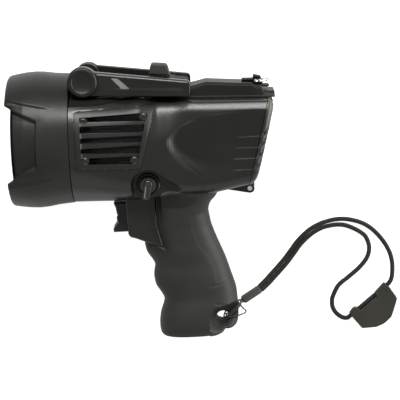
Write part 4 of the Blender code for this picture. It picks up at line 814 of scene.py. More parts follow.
# A slab with a round hole: rings run out from the hole's wall to the outline, whose radius is
# read off by angle about the hole's centre.
def holedSlab(outline, centre, radius, low, high, edge, count=120):
    p = np.asarray(outline, float) - centre
    angle = np.arctan2(p[:, 1], p[:, 0])
    order = np.argsort(angle)
    a = 2.0 * math.pi * np.arange(count) / count - math.pi
    reach = np.interp(a, angle[order], np.hypot(p[:, 0], p[:, 1])[order], period=2.0 * math.pi)
    rings = []
    for radii, z in ((radius + 0.0 * a, low), (radius + 0.0 * a, high), (reach - edge, high),
                     (reach, high - edge), (reach, low + edge), (reach - edge, low)):
        rings.append(np.column_stack([centre[0] + radii * np.cos(a),
                                      centre[1] + radii * np.sin(a), np.full(count, z)]))
    return np.concatenate(rings), gridFaces(len(rings), count, wrapRows=True, wrapColumns=True)


# Painted shade: the trigger box gets darker towards the line on which the sleeve meets it.
def boxPaintedShade(points):
    x, y = points[:, 0], points[:, 1]
    swing, *levels = housing["boxRearSwing"]
    dark, *span = housing["boxShade"]
    line = housing["boxRear"] + swing * rising(y, *levels)
    return 1.0 - dark * rising(x - line, *span) * (y < housing["boxTop"])


# Each half is a shell with its half of the trigger box and one hinge ear; the right one is
# worked out on the left side and mirrored.
def makeHousing():
    for left in (True, False):
        points, faces, tone = housingShell(left)
        seat = None if left else lambda x, y: screwSeat(x, y, sideForms["boxScrew"])
        box = slabByColumns(rounded(housing["box"], *housing["boxCorner"]), housing["seam"],
                            housing["boxHalf"], housing["boxEdge"], seat, *housing["boxGrid"])
        ear = rounded(arcPoints(housing["hinge"], housing["earRadius"], *housing["earArc"])
                      + housing["earRoot"], *housing["earCorner"])
        ear = holedSlab(ear, housing["hinge"], housing["earHole"], *housing["earSides"],
                        housing["earEdge"])
        points, faces = together((points, faces), box, ear)
        tone = np.concatenate([tone, boxPaintedShade(points[len(tone):])])
        part = (points, faces) if left else mirrored((points, faces))
        makePiece("housingLeft" if left else "housingRight", part, looks["black_nylon"],
                  "light", ["housing_left" if left else "housing_right"],
                  tone=tone, sharp=38.0, merge=1e-7)


makeHousing()
print("housing made")

# Pairs are (height along the beam's axis, radius); panel and facet are outlines seen from the
# side. The lobes' edges are in degrees from the vertical, above and below.
bezel = {
    "outer": [(-38.5, 41.8), (-37.5, 42.9), (-34, 43.6), (-27, 44.6), (-21, 44.9), (-15, 44.5),
              (-8, 43.4), (2.2, 42.6)],
    "inner": [(2.2, 39.5), (-29.4, 39.5), (-29.6, 38.6), (-33.2, 38.6), (-33.4, 36.4),
              (-34.0, 36.4), (-38.5, 40.2)],
    "spacing": 0.55, "softness": 0.32, "steps": 480,
    "lobeStep": 4.2, "lobeEdges": (39.0, 33.0), "lobeSlope": 5.0,
    "outerPull": (-23.0, -38.5), "innerPull": (-34.0, 4.5),
    "panel": [(-46.0, -25.6), (-36.0, -21.2), (-18.6, -13.6), (-18.0, 17.6), (-34.0, 25.0),
              (-46.0, 30.6)],
    "panelCorner": (0.9, 0.6), "panelDepth": 2.4, "panelRim": (-0.2, 0.7), "panelPaintedShade": 0.15,
    "facet": [(-48.0, 32.8), (-36.5, 30.2), (-6.6, 23.4), (-4.0, 0.0), (-7.7, -20.9),
              (-37.0, -26.0), (-48.0, -27.9)],
    "facetDepth": 0.85, "facetRim": (-0.2, 0.4), "facetSlope": 0.07, "facetReach": 9.0,
    "facetFade": (-5.5, -19.5), "sideCosine": 0.45, "topPaintedShade": (0.5, 0.45, 0.85),
}
optics = {
    "lensAt": -32.9, "lens": [(0.35, 0.0), (0.2, 20.0), (0.0, 37.8), (0.3, 38.2), (2.4, 38.2),
                              (2.4, 0.0)],
    "bowlAt": -28.0, "bowlDepth": 29.6, "focus": 9.25, "bowlEnd": 8.4, "bowlRim": 38.9,
    "bowlRings": 48, "bowlWall": (0.5, 1.4, 1.5),
    "flutes": 24.0, "fluteDepth": 0.0035,
}
headAxis = (1.0, -barrel["headLean"], 0.0)


# 1 on the top and bottom lobes, 0 on the sides, by the angle from the side.
def lobeShare(angle):
    off = np.abs((angle + 90.0) % 180.0 - 90.0)
    edge = np.where(angle % 360.0 < 180.0, *bezel["lobeEdges"])
    return ramp((off - edge + 0.5 * bezel["lobeSlope"]) / bezel["lobeSlope"])


# A closed profile spun round the beam's axis. On the sides its front is pulled back, and the
# facet's and panel's depths are taken off the radius. Painted shade darkens the sunk panel and
# the top.
def makeBezel():
    b, spacing = bezel, bezel["spacing"]
    loop = blurred(evenly(b["outer"] + b["inner"], spacing, closed=True), b["softness"],
                   spacing, True)
    outerCount = int(round(lengthOf(np.array(b["outer"])) / spacing))
    isOuter = (np.arange(len(loop)) < outerCount + 1)[:, None]
    h, r = loop[:, :1], loop[:, 1:]
    angle = 360.0 * np.arange(b["steps"])[None, :] / b["steps"]
    a = np.radians(angle)
    start, length = b["innerPull"]
    pull = np.where(isOuter, rising(h, *b["outerPull"]), np.clip((start - h) / length, 0.0, 1.0))
    x = h + b["lobeStep"] * pull * (1.0 - lobeShare(angle))
    y = r * np.sin(a)
    facet = inside(x, y, b["facet"])
    depth = (b["facetDepth"] * rising(facet, *b["facetRim"])
             + b["facetSlope"] * np.clip(facet, 0.0, b["facetReach"]))
    depth = depth * rising(x, *b["facetFade"])
    panel = inside(x, y, rounded(b["panel"], *b["panelCorner"]))
    depth = depth + b["panelDepth"] * rising(panel, *b["panelRim"])
    onSide = isOuter & (np.abs(np.cos(a)) > b["sideCosine"])
    r = r - np.where(onSide, depth, 0.0)
    y, z = r * np.sin(a), r * np.cos(a)
    points = np.stack(np.broadcast_arrays(x + barrel["headLean"] * y, y, z), -1)
    faces = gridFaces(len(loop), b["steps"], wrapRows=True, wrapColumns=True)
    # Painted shade: darker on the sunk side panel and towards the top.
    dark, *span = b["topPaintedShade"]
    tone = 1.0 - b["panelPaintedShade"] * ramp(panel) * onSide - dark * rising(np.sin(a), *span)
    makePiece("bezelRing", (points, faces), looks["soft_rubber"], "light", ["bezel"],
              tone=tone, sharp=55.0)


# The bowl is a parabola: its radius is the root of four times focus times depth. A back wall
# follows it, a little larger, and shallow flutes are a sine of the angle.
def makeOptics():
    o = optics
    makePiece("lensDisc", turned(o["lens"], (o["lensAt"], 0, 0), headAxis, 128),
              looks["clear_polycarbonate"], "light", ["lens"])
    bowl = [(o["bowlDepth"] * (1.0 - t),
             math.sqrt(4.0 * o["focus"] * (o["bowlEnd"] + o["bowlDepth"] * t)))
            for t in np.linspace(0.0, 1.0, o["bowlRings"])]
    behind, wall, last = o["bowlWall"]
    back = [(q[0] + behind, q[1] + wall) for q in bowl[::-1][4:-2]]
    profile = bowl + [(0.0, o["bowlRim"]), (wall, o["bowlRim"])] + back
    profile.append((o["bowlDepth"], bowl[0][1] + last))

    # the radius's scale: 1 less the depth times the size of a sine
    def flutes(height, angle):
        return 1.0 - o["fluteDepth"] * np.abs(np.sin(o["flutes"] * angle)) + 0.0 * height

    makePiece("reflectorBowl", turned(profile, (o["bowlAt"], 0, 0), headAxis, 192, flutes),
              looks["vapour_chrome"], "light", ["reflector"])


makeBezel()
makeOptics()
print("bezel and optics made")

# Each slot is given by its (lower, upper) level at the opening's left line and at its right one.
grille = {
    "slots": [((14.6, 17.2), (12.8, 17.8)), ((7.7, 11.8), (5.9, 10.8)),
              ((1.3, 4.6), (-0.3, 3.9)), ((-5.1, -2.2), (-7.4, -2.2)),
              ((-12.2, -8.4), (-14.0, -9.0))],
    "screws": [(12.2, 15.0), (50.4, 15.6), (12.2, -10.0), (43.2, -11.6)],
    "thickness": 1.9, "bevel": 0.3, "letIn": 0.9, "letInRim": (0.1, 0.9),
    "corner": (2.2, 0.4), "rimDrop": 0.25, "rimWidth": 0.5, "cornerDrop": 0.6,
    "stripRows": 8, "columns": 90, "frameColumns": 6,
    "boss": [(0.0, 0.0), (0.0, 2.7), (0.7, 2.7), (0.9, 2.5), (0.9, 0.0)],
    "collar": [(0.7, 1.95), (1.35, 2.0), (1.5, 2.2), (1.35, 2.65), (0.7, 2.7)],
    "screw": [(0.0, 0.0), (0.0, 1.85), (0.3, 1.88), (0.6, 1.5), (0.66, 0.8), (0.2, 0.62),
              (0.2, 0.0)],
    "screwDepth": 0.98,
}


# A framed plate on the barrel's side. Its rows run along the slots' edges, from the left line of
# the opening to the slanted right one and on over the frame; the slots' faces are left out.
def grillePlate():
    outerLine, opening = sideForms["grilleFrame"], sideForms["grilleOpening"]
    levels = [(outerLine[0][1], outerLine[1][1])]
    for (lowL, highL), (lowR, highR) in reversed(grille["slots"]):
        levels += [(lowL, lowR), (highL, highR)]
    levels.append((outerLine[3][1], outerLine[2][1]))
    rowsL, rowsR, slotRow = [], [], []
    for k, ((l0, r0), (l1, r1)) in enumerate(zip(levels, levels[1:])):
        for t in np.linspace(0.0, 1.0, grille["stripRows"])[:-1]:
            rowsL.append(l0 + (l1 - l0) * t)
            rowsR.append(r0 + (r1 - r0) * t)
            slotRow.append(k % 2 == 1)
    rowsL, rowsR = np.array(rowsL + [levels[-1][0]]), np.array(rowsR + [levels[-1][1]])
    columns = np.concatenate([np.linspace(-1.0, 0.0, grille["frameColumns"])[:-1],
                              np.linspace(0.0, 1.0, grille["columns"]),
                              np.linspace(1.0, 2.0, grille["frameColumns"])[1:]])
    slotColumn = (columns[:-1] >= -1e-6) & (columns[1:] <= 1.0 + 1e-6)

    # x on the straight line from low to high, at a height
    def rightLine(y, low, high):
        return low[0] + (high[0] - low[0]) * (y - low[1]) / (high[1] - low[1])

    c, inLeft = columns[None, :], opening[0][0]
    inRight = rightLine(rowsR, opening[1], opening[2])[:, None]
    outer = rightLine(rowsR, outerLine[1], outerLine[2])[:, None]
    x = np.where(c < 0.0, inLeft + (inLeft - outerLine[0][0]) * c,
                 inLeft + (inRight - inLeft) * np.clip(c, 0.0, 1.0))
    x = np.where(c > 1.0, inRight + (outer - inRight) * (c - 1.0), x)
    y = rowsL[:, None] + (rowsR - rowsL)[:, None] * np.clip(c, 0.0, 1.0)
    corner = inside(x, y, rounded(outerLine, *grille["corner"]))
    z = sideAt(x, y) + grille["cornerDrop"] * np.minimum(0.0, corner)
    z = z - grille["rimDrop"] * np.exp(-np.maximum(corner, 0.0) / grille["rimWidth"])
    z = z - grille["letIn"] * rising(inside(x, y, opening), *grille["letInRim"])
    isOpen = np.array(slotRow)[:, None] & slotColumn[None, :]
    faces = np.array(gridFaces(len(rowsL), len(columns)))
    return np.stack([x, y, z], -1).reshape(-1, 3), faces[~isOpen.ravel()].tolist()


# The plate gets its wall and edges from modifiers; the wall takes a near-black, dull finish as
# painted shadow in the slots. At each screw a boss, its raised collar and the screw's head are
# profiles spun about z, as deep as they lie under the barrel's side.
def makeGrilles():
    for side, label in ((1.0, "Left"), (-1.0, "Right")):
        bosses, screws = [], []
        for x, y in grille["screws"]:
            face = float(sideAt(x, y))
            seat = (x, y, face - grille["thickness"])
            bosses += [turned(grille["boss"], seat, (0, 0, 1), 32),
                       turned(grille["collar"], seat, (0, 0, 1), 32)]
            screws.append(turned(grille["screw"], (x, y, face - grille["screwDepth"]),
                                 (0, 0, 1), 24))
        plate = grillePlate()
        if side < 0.0:
            plate = mirrored(plate)
            bosses = [mirrored(b) for b in bosses]
            screws = [mirrored(s) for s in screws]
        made = makePiece("grille" + label, plate, looks["grille_nylon"], "light",
                         ["grille_" + label.lower()], merge=None)
        if made.data.polygons[0].normal.z * side < 0.0:
            made.data.flip_normals()
        made.data.materials.append(looks["slot_wall"])
        wall = made.modifiers.new("wall", "SOLIDIFY")
        wall.thickness = grille["thickness"] * millimetre
        wall.offset = -1.0
        wall.material_offset_rim = 1
        edge = made.modifiers.new("edge", "BEVEL")
        edge.width = grille["bevel"] * millimetre
        edge.segments = 2
        edge.limit_method = "ANGLE"
        edge.angle_limit = math.radians(50.0)
        makePiece("grilleBosses" + label, together(*bosses), looks["grille_nylon"], "light")
        makePiece("grilleScrews" + label, together(*screws), looks["black_screw"], "light",
                  [f"grille_screw_{label.lower()}_{i}" for i in (1, 2, 3, 4)])


makeGrilles()
print("grilles made")

standPivot = (12.6, 38.8)
cover = {
    "deck": (2.6, 140.0, 600), "reach": (3.6, 135.3), "rings": 224, "around": 190,
    "softness": (0.5, 0.35),
    "lift": 0.3, "slotted": 0.05, "shoulderShare": 0.8,
    "shoulder": 4.6, "ridgeEdge": (0.9, 1.3, 2.6), "crownRise": 0.12,
    "leanFade": (3.6, 15.6), "latchSeat": 27.3, "latchHalf": 6.8, "latchFrom": 121.8,
    "ridgeHalf": [(2.9, 20.6), (40, 20.6), (60, 19.2), (80, 16.6), (91, 15.4), (135.3, 15.0)],
    "shoulderRise": [(2.9, 4.2), (25, 4.0), (40, 2.4), (60, 1.2), (80, 0.8), (135.3, 0.6)],
    "ridgeTop": [(2.9, 31.5), (81.3, 31.5), (91, 33.7), (112, 31.9), (121.6, 31.4),
                 (122.2, 29.6), (127.0, 29.2), (127.6, 26.4), (135.3, 25.5)],
    "bossRadius": 8.2, "bossFoot": [(4.4, 30.0), (20.8, 30.0)], "bossSides": (14.0, 21.1),
    "bossArc": (0.0, 180.0, 40), "bossCorner": (0.4, 0.4), "bossEdge": 0.5,
}


# A closed profile at each station: from the deck's edge up over the shoulder and the ridge and
# down the other side, blurred so that its corners are round.
def makeCover():
    c = cover
    edgeLine = np.array([section(v, 0.0, coverEdgeAt(v)) for v in np.linspace(*c["deck"])])
    xs = np.linspace(*c["reach"], c["rings"])
    edgeY = np.interp(xs, edgeLine[:, 0], edgeLine[:, 1])
    edgeZ = np.interp(xs, edgeLine[:, 0], edgeLine[:, 2])
    halfAt, riseAt = smoothTable(c["ridgeHalf"], 2.0), smoothTable(c["shoulderRise"], 2.0)
    topOf = smoothTable(c["ridgeTop"], 0.35)
    rings = []
    for x, ey, ez in zip(xs, edgeY, edgeZ):
        foot, rise, top = float(halfAt(x)), float(riseAt(x)), float(topOf(x))
        base, (near, under, far) = ey + c["lift"], c["ridgeEdge"]
        half = [(ez - c["slotted"], base), (max(foot + 0.2, ez - c["shoulder"]),
                                            base + c["shoulderShare"] * rise),
                (foot, base + rise), (foot - near, top - under), (foot - far, top),
                (0.0, top + c["crownRise"])]
        profile = np.array(half + [(-q[0], q[1]) for q in half[-2::-1]])
        profile = blurred(evenly(profile, count=c["around"]), *c["softness"], False)
        lean = barrel["headLean"] * (1.0 - float(rising(x, *c["leanFade"])))
        z, y = profile[:, 0], profile[:, 1]
        if x > c["latchFrom"]:
            y = np.where(np.abs(z) < c["latchHalf"], np.minimum(y, c["latchSeat"]), y)
        rings.append(np.stack([x + lean * (y - ey), y, z], -1))
    p = np.stack(rings)
    count = p.shape[1]
    faces = gridFaces(len(xs), count, wrapColumns=True) + endFaces(len(xs), count)
    outline = rounded(arcPoints(standPivot, c["bossRadius"], *c["bossArc"]) + c["bossFoot"],
                      *c["bossCorner"])
    boss = roundedSlab(outline, *c["bossSides"], c["bossEdge"], c["bossEdge"])
    # The cover's darker nylon is painted shade.
    makePiece("topCover", together((p, faces), boss, mirrored(boss)), looks["cover_nylon"],
              "light", ["top_cover"], sharp=40.0)


makeCover()
print("top cover made")

stand = {
    "hubs": (9.8, 8.5), "inner": 21.5, "outer": 28.0, "edge": 0.9,
    "top": [(79.4, 36.7), (20.6, 44.8)], "bottom": [(16.0, 29.7), (78.3, 26.4)],
    "endRadius": 2.6, "endShift": 1.6, "armGrid": (230, 72),
    "panel": [(24.0, 33.1), (77.6, 29.8), (77.6, 34.4), (24.0, 41.6)],
    "panelCorner": (0.8, 0.4), "panelDepth": 0.42, "panelRim": 2.2, "panelFade": (25.0, 39.0),
    "ridge": [(23.0, 44.9), (79.0, 37.2)], "ridgeWidth": 2.1, "ridgeSlope": 0.29,
    "ridgeBlend": 0.05,
    "stripe": [(37.4, 33.2), (42.6, 33.0), (35.0, 40.2), (30.6, 40.7)],
    "stripeSeat": (1.3, -0.3, 0.1), "stripeLevels": (-1.2, -0.45),
    "crossbar": [(71.0, 32.4), (79.4, 32.4), (79.4, 34.2), (77.8, 35.2), (71.0, 36.0)],
    "bridge": [(54.0, 33.0), (71.4, 33.0), (71.4, 36.4), (54.0, 38.6)], "barHalf": 22.5,
    "barCorner": (0.7, 0.3),
    "tab": [(54.2, 39.5), (68.2, 37.95), (66.4, 44.8), (65.0, 45.6), (56.8, 46.4), (55.6, 45.7)],
    "tabCorner": (0.9, 0.3), "tabHalf": 8.0, "tabEdge": 0.9,
    "knobAt": 28.3, "knobRim": 0.2, "dish": (1.45, 1.15, 3.5),
    "knob": [(2.1, 0.0), (3.0, 0.8), (3.2, 1.5), (3.2, 2.7), (2.7, 3.2)],
}


# An arc round the pivot and two small arcs at the far end, joined by straight lines.
def armOutline(radius):
    r = stand["endRadius"]
    (endX, endY), (topX, topY) = stand["bottom"][1], stand["top"][0]
    hub = arcPoints(standPivot, radius, 46.0, 290.0, 60)
    low = arcPoints((endX, endY + r), r, -93.0, 0.0, 8)
    high = arcPoints((topX - r + stand["endShift"], topY - r), r, 0.0, 82.0, 8)
    return rounded(hub + low + high + [stand["top"][1]], 0.5, 0.4)


# What is taken off an arm's outer face: the sunk panel, the slope above its ridge line, which is
# a soft maximum of distance and nothing, and the stripe's seat.
def armDepth(x, y):
    panel = inside(x, y, rounded(stand["panel"], *stand["panelCorner"]))
    depth = stand["panelDepth"] * ramp(panel / stand["panelRim"])
    depth = depth * rising(x, *stand["panelFade"])
    above = stand["ridgeWidth"] - toLine(x, y, stand["ridge"])
    depth = depth + stand["ridgeSlope"] * (above + np.sqrt(above ** 2 + stand["ridgeBlend"]))
    seat, *span = stand["stripeSeat"]
    stripe = inside(x, y, rounded(stand["stripe"], 0.2, 0.3))
    return np.maximum(depth, seat * rising(stripe, *span))


# The knob's rim, then a dish whose height is a level plus a square of the radius.
def knobProfile(hub):
    rim = hub - stand["knobRim"]
    level, bowl, inset = stand["dish"]
    dish = [(level + bowl * t * t, (rim - inset) * t) for t in np.linspace(1.0, 0.0, 14)]
    edge = [(h, rim - r) for h, r in stand["knob"]]
    return softProfile([(0.0, 0.0), (0.0, rim)] + edge + dish, 0.5)


# The arms are slabs on a grid, the bars, stripes and block are outlines drawn out along z, and
# the knobs are profiles spun about the pivot.
def makeStand():
    arms = [slabByColumns(armOutline(hub), stand["inner"], stand["outer"], stand["edge"],
                          armDepth, *stand["armGrid"]) for hub in stand["hubs"]]
    bars = [roundedSlab(rounded(stand[key], *stand["barCorner"]), -stand["barHalf"],
                        stand["barHalf"], 0.1, 0.1, 3) for key in ("crossbar", "bridge")]
    makePiece("standFrame", together(arms[0], mirrored(arms[1])), looks["stand_nylon"], "stand",
              ["stand_frame"], sharp=40.0)
    # The bars take the darker shaded nylon, as painted shade between the arms.
    makePiece("standBars", together(*bars), looks["shaded_nylon"], "stand")
    low, high = [stand["outer"] + v for v in stand["stripeLevels"]]
    for side, label, hub in ((1, "Left", stand["hubs"][0]), (-1, "Right", stand["hubs"][1])):
        stripe = roundedSlab(rounded(stand["stripe"], 0.3, 0.25), low, high, 0.05, 0.12, 3, 0.05)
        makePiece("standStripe" + label, stripe if side > 0 else mirrored(stripe),
                  looks["grey_stripe"], "stand", ["stand_stripe_" + label.lower()])
        knob = turned(knobProfile(hub), (*standPivot, side * stand["knobAt"]), (0, 0, side), 96)
        makePiece("standKnob" + label, knob, looks["knob_nylon"], "light",
                  ["stand_knob_" + label.lower()])
    half, edge = stand["tabHalf"], stand["tabEdge"]
    tab = roundedSlab(rounded(stand["tab"], *stand["tabCorner"]), -half, half, edge, edge)
    makePiece("standTab", tab, looks["tab_rubber"], "stand", ["stand_tab"])


makeStand()
print("stand made")

# The grip's sections are (level, front, rear, half width).
grip = {
    "sections": [
        (-36.4, 51.4, 94.8, 24.4), (-40.0, 51.2, 93.6, 23.4), (-44.5, 50.6, 90.6, 21.2),
        (-52, 49.0, 88.3, 18.6), (-62, 47.2, 89.8, 17.0), (-72, 44.8, 93.2, 16.6),
        (-78, 45.8, 95.6, 16.7), (-83, 49.1, 97.6, 16.6), (-87, 51.4, 99.0, 16.6),
        (-91, 50.3, 100.2, 17.1), (-95, 49.8, 101.3, 17.5), (-101, 50.6, 103.2, 17.5),
        (-106, 53.8, 104.6, 17.2), (-110.5, 56.2, 104.9, 17.4), (-115, 55.2, 105.2, 18.4),
        (-121, 52.8, 105.4, 19.6), (-127, 51.9, 105.0, 20.4), (-131.5, 52.0, 103.6, 20.3),
        (-134.2, 52.3, 101.0, 18.8), (-135.9, 54.2, 95.0, 17.2)],
    "powers": (0.78, 0.72), "depths": (33.0, 135.2), "rings": 184, "around": 244,
    "footRings": 16, "footRim": (0.06, 0.7), "footPower": 1.2,
    "lip": [(45, -40), (52.9, -38.0), (58.5, -35.6), (63.1, -34.0), (67.7, -34.1), (73, -36.1),
            (83.9, -37.2), (92, -38.4), (97, -39.2)],
    "lipFrom": (-48.0, 15.0), "lipRows": [1.9, 0.8, 0.3, 0.08], "lipProud": 1.0,
    "onBarrel": -44.0, "middleStrip": 4.0,
    "boxRoom": [(20.0, -20.0), (20.0, -67.4), (40.0, -67.9), (44.6, -70.1), (58.6, -74.9),
                (55.3, -58.5), (55.3, -20.0)],
    "boxFade": (-3.2, -0.2), "boxHalf": 15.4, "boxUnder": (0.9, -0.3, 0.1),
    "boxShade": (0.62, 0.4, 4.0), "boxShadeBelow": -40.0,
    "patch": [(57.0, -38.6), (60.2, -37.0), (63.4, -36.1), (67.5, -36.2), (73.0, -38.2),
              (83.6, -39.6), (79.8, -44.5), (76.0, -47.4), (66.0, -48.6), (58.0, -47.6)],
    "patchCorner": (1.6, 0.6), "patchDepth": 0.6, "patchRim": 3.0,
    "patchShade": (0.75, -0.4, 2.2),
    "spine": [(77.0, -52.0), (77.6, -62.0), (81.5, -73.8), (87.3, -81.8), (91.1, -90.7),
              (91.8, -99.0)],
    "behindSpine": [(120.0, -99.0), (120.0, -52.0)], "spineDepth": (0.08, 1.0),
    "behindDepth": (0.18, -1.2, 1.2),
    "ribs": [[(87.4, -101.8), (94.0, -100.9), (101.2, -99.0)],
             [(89.8, -113.7), (93.0, -114.2), (96.5, -114.9)]],
    "ribDepth": (0.4, 0.6), "sideStrip": 6.0,
    "heel": [(86.6, -121.0), (89.0, -116.6), (98.0, -114.8), (112.0, -112.6), (112.0, -146.0),
             (83.4, -146.0), (85.2, -135.0)],
    "heelRim": (0.02, 0.32), "heelTongue": 5.4, "heelCut": 0.3,
}
gripSections = np.array(grip["sections"])
frontAt, rearAt, gripHalfAt = [smoothTable(np.column_stack([-gripSections[:, 0],
                                                            gripSections[:, k]]), 1.3)
                               for k in (1, 2, 3)]


# The grip's rings: super-ellipses between the front and the rear at each depth, and below them
# the foot, which shrinks to the middle and is round at its rim.
def gripRings():
    rings, bottom = [], grip["depths"][1]
    a = np.linspace(0.0, 2.0 * math.pi, 721)[:-1]
    for g in np.linspace(*grip["depths"], grip["rings"]):
        middle, halfLong = 0.5 * (frontAt(g) + rearAt(g)), 0.5 * (rearAt(g) - frontAt(g))
        x = middle + np.sign(np.cos(a)) * np.abs(np.cos(a)) ** grip["powers"][0] * halfLong
        z = np.sign(np.sin(a)) * np.abs(np.sin(a)) ** grip["powers"][1] * gripHalfAt(g)
        rings.append(evenly(np.stack([x, np.full_like(x, -g), z], -1), count=grip["around"],
                            closed=True))
    last, (inset, drop) = rings[-1], grip["footRim"]
    middle = np.array([last[:, 0].mean(), -bottom, 0.0])
    for t in np.linspace(0.0, 1.0, grip["footRings"])[1:]:
        turn = math.sin(min(1.0, t * 4.0) * 0.5 * math.pi)
        scale = 1.0 - inset * turn - (1.0 - inset) * t ** grip["footPower"]
        ring = middle + (last - middle) * max(scale, 0.0)
        ring[:, 1] = -bottom - drop * turn
        rings.append(ring)
    return np.stack(rings)


# The sleeve's half width: the rings', widened to lie on the barrel under the lip, drawn in to
# the trigger box's sides and to a tongue under the heel, less the patch, spine and ribs.
def makeGrip():
    g = grip
    p = gripRings()
    x, y, z = p[..., 0], p[..., 1].copy(), p[..., 2]
    lip = np.interp(x, *np.array(g["lip"]).T)
    level, height = g["lipFrom"]
    share = np.clip((y - level) / height, 0.0, 1.0)
    y = np.where(share > 0.0, level + share * (lip - level), y)
    hand, wide, onSide = np.sign(z), np.abs(z), np.abs(z) > g["sideStrip"]
    side = sideAt(x, y)
    side = np.where(hand > 0, side - pocketDepth(x, y, side), side)
    overBarrel = np.maximum(wide, (side + g["lipProud"]) * (y > g["onBarrel"]))
    wide = np.where(wide > g["middleStrip"], overBarrel, wide)
    lipRows = np.zeros_like(wide)
    lipRows[:len(g["lipRows"])] = np.array(g["lipRows"])[:, None]
    wide = np.maximum(wide - lipRows, 0.0)
    inBox = inside(x, y, g["boxRoom"])
    under, *span = g["boxUnder"]
    boxSide = np.minimum(wide, g["boxHalf"] - under * rising(inBox, *span))
    wide = wide + (boxSide - wide) * rising(inBox, *g["boxFade"])
    patch = inside(x, y, rounded(g["patch"], *g["patchCorner"]))
    sunk = g["patchDepth"] * ramp(patch / g["patchRim"])
    depth, width = g["spineDepth"]
    sunk = sunk + depth * bell(toLine(x, y, g["spine"]), width)
    depth, *span = g["behindDepth"]
    sunk = sunk + depth * rising(inside(x, y, g["spine"] + g["behindSpine"]), *span)
    depth, width = g["ribDepth"]
    for rib in g["ribs"]:
        sunk = sunk + depth * bell(toLine(x, y, rib), width)
    heelShare = inside(x, y, g["heel"])
    wide = np.maximum(wide - np.where(onSide, sunk, 0.0), 0.0)
    tongue = np.minimum(wide, g["heelTongue"])
    wide = wide + (tongue - wide) * rising(heelShare, *g["heelRim"])
    faces = np.array(gridFaces(len(p), g["around"], wrapColumns=True))
    gone = (heelShare.ravel()[faces] > g["heelCut"]).all(axis=1)
    # Painted shade: darker on the sunk patch and near the line where the sleeve meets the
    # trigger box.
    dark, *span = g["patchShade"]
    tone = 1.0 - dark * rising(patch, *span) * onSide
    dark, shift, width = g["boxShade"]
    nearBox = bell(np.minimum(inBox + shift, 0.0), width) * (y < g["boxShadeBelow"])
    tone = np.minimum(tone, 1.0 - dark * nearBox)
    points = np.stack([x, y, hand * wide], -1)
    makePiece("gripSleeve", (points, faces[~gone].tolist()), looks["grip_rubber"], "light",
              ["grip_sleeve"], tone=tone, sharp=50.0)


heel = {
    "hole": (94.4, -124.9), "holeSize": (4.3, 3.9), "tabHalf": 6.6,
    "cordWay": [(94.4, -124.9), (108.0, -117.0)], "scoop": (2.6, 11.6),
    "rearDepths": (114.6, 128.6, 24),
    "foot": [(84.9, -135.9), (93.0, -135.5), (95.2, -133.2), (96.2, -132.5), (101.2, -132.1),
             (103.2, -130.6)],
    "front": [(98.0, -114.8), (89.0, -116.6), (86.6, -121.0), (85.2, -135.0)],
    "rays": 200, "rings": 44, "softness": 1.2, "holeRim": (0.7, 0.8), "rim": (0.15, 3.0),
    "footDrop": 2.6,
    "footBelow": (-129.5, -132.0), "footFrom": (90.0, 93.0), "tone": (0.1, 7.0, 2.0),
}


# Rings run out from the lanyard's hole, an ellipse, to the heel's outline, whose radius is read
# off by angle. Their height is the grip's own super-ellipse, scooped out along the cord's way.
def makeHeel():
    k = heel
    centre, depths = np.array(k["hole"]), np.linspace(*k["rearDepths"])
    rear = np.column_stack([rearAt(depths), -depths])[::-1]
    p = np.vstack([k["foot"], rear, k["front"]]) - centre
    angle = np.arctan2(p[:, 1], p[:, 0])
    order = np.argsort(angle)
    a = 2.0 * math.pi * np.arange(k["rays"]) / k["rays"] - math.pi
    reach = np.interp(a, angle[order], np.hypot(p[:, 0], p[:, 1])[order], period=2.0 * math.pi)
    reach = blurred(reach[:, None], k["softness"], 1.0, True)[:, 0]
    wide, tall = k["holeSize"]
    start = 1.0 / np.sqrt((np.cos(a) / wide) ** 2 + (np.sin(a) / tall) ** 2)
    share = 0.5 - 0.5 * np.cos(math.pi * np.linspace(0.0, 1.0, k["rings"]))
    radius = start + (reach - start) * share[:, None]
    x, y = centre[0] + radius * np.cos(a), centre[1] + radius * np.sin(a)
    middle, halfLong = 0.5 * (frontAt(-y) + rearAt(-y)), 0.5 * (rearAt(-y) - frontAt(-y))
    u = np.clip(np.abs((x - middle) / halfLong), 0.0, 1.0)
    z = gripHalfAt(-y) * (1.0 - u ** (2.0 / grip["powers"][0])) ** (0.5 * grip["powers"][1])
    away, tab = toLine(x, y, k["cordWay"]), k["tabHalf"]
    z = np.where(z > tab, tab + (z - tab) * rising(away, *k["scoop"]), z)
    z = z - k["holeRim"][0] * edgeDrop(radius - start, k["holeRim"][1])
    foot = rising(y, *k["footBelow"]) * rising(x, *k["footFrom"])
    rim = (k["rim"][0] + k["footDrop"] * foot) * edgeDrop(reach - radius, k["rim"][1])
    near = np.stack([x, y, np.maximum(z - rim, 0.0)], -1)
    points = np.concatenate([near, (near * (1.0, 1.0, -1.0))[::-1]])
    faces = gridFaces(len(points), k["rays"], wrapRows=True, wrapColumns=True)
    # Painted shade: a little darker along the cord's scooped way.
    dark, *span = k["tone"]
    tone = 1.0 - dark * rising(np.concatenate([away, away[::-1]]), *span)
    makePiece("gripHeel", (points.reshape(-1, 3), faces), looks["grip_rubber"], "light",
              ["grip_heel"], tone=tone, sharp=50.0)


makeGrip()
makeHeel()
print("grip made")

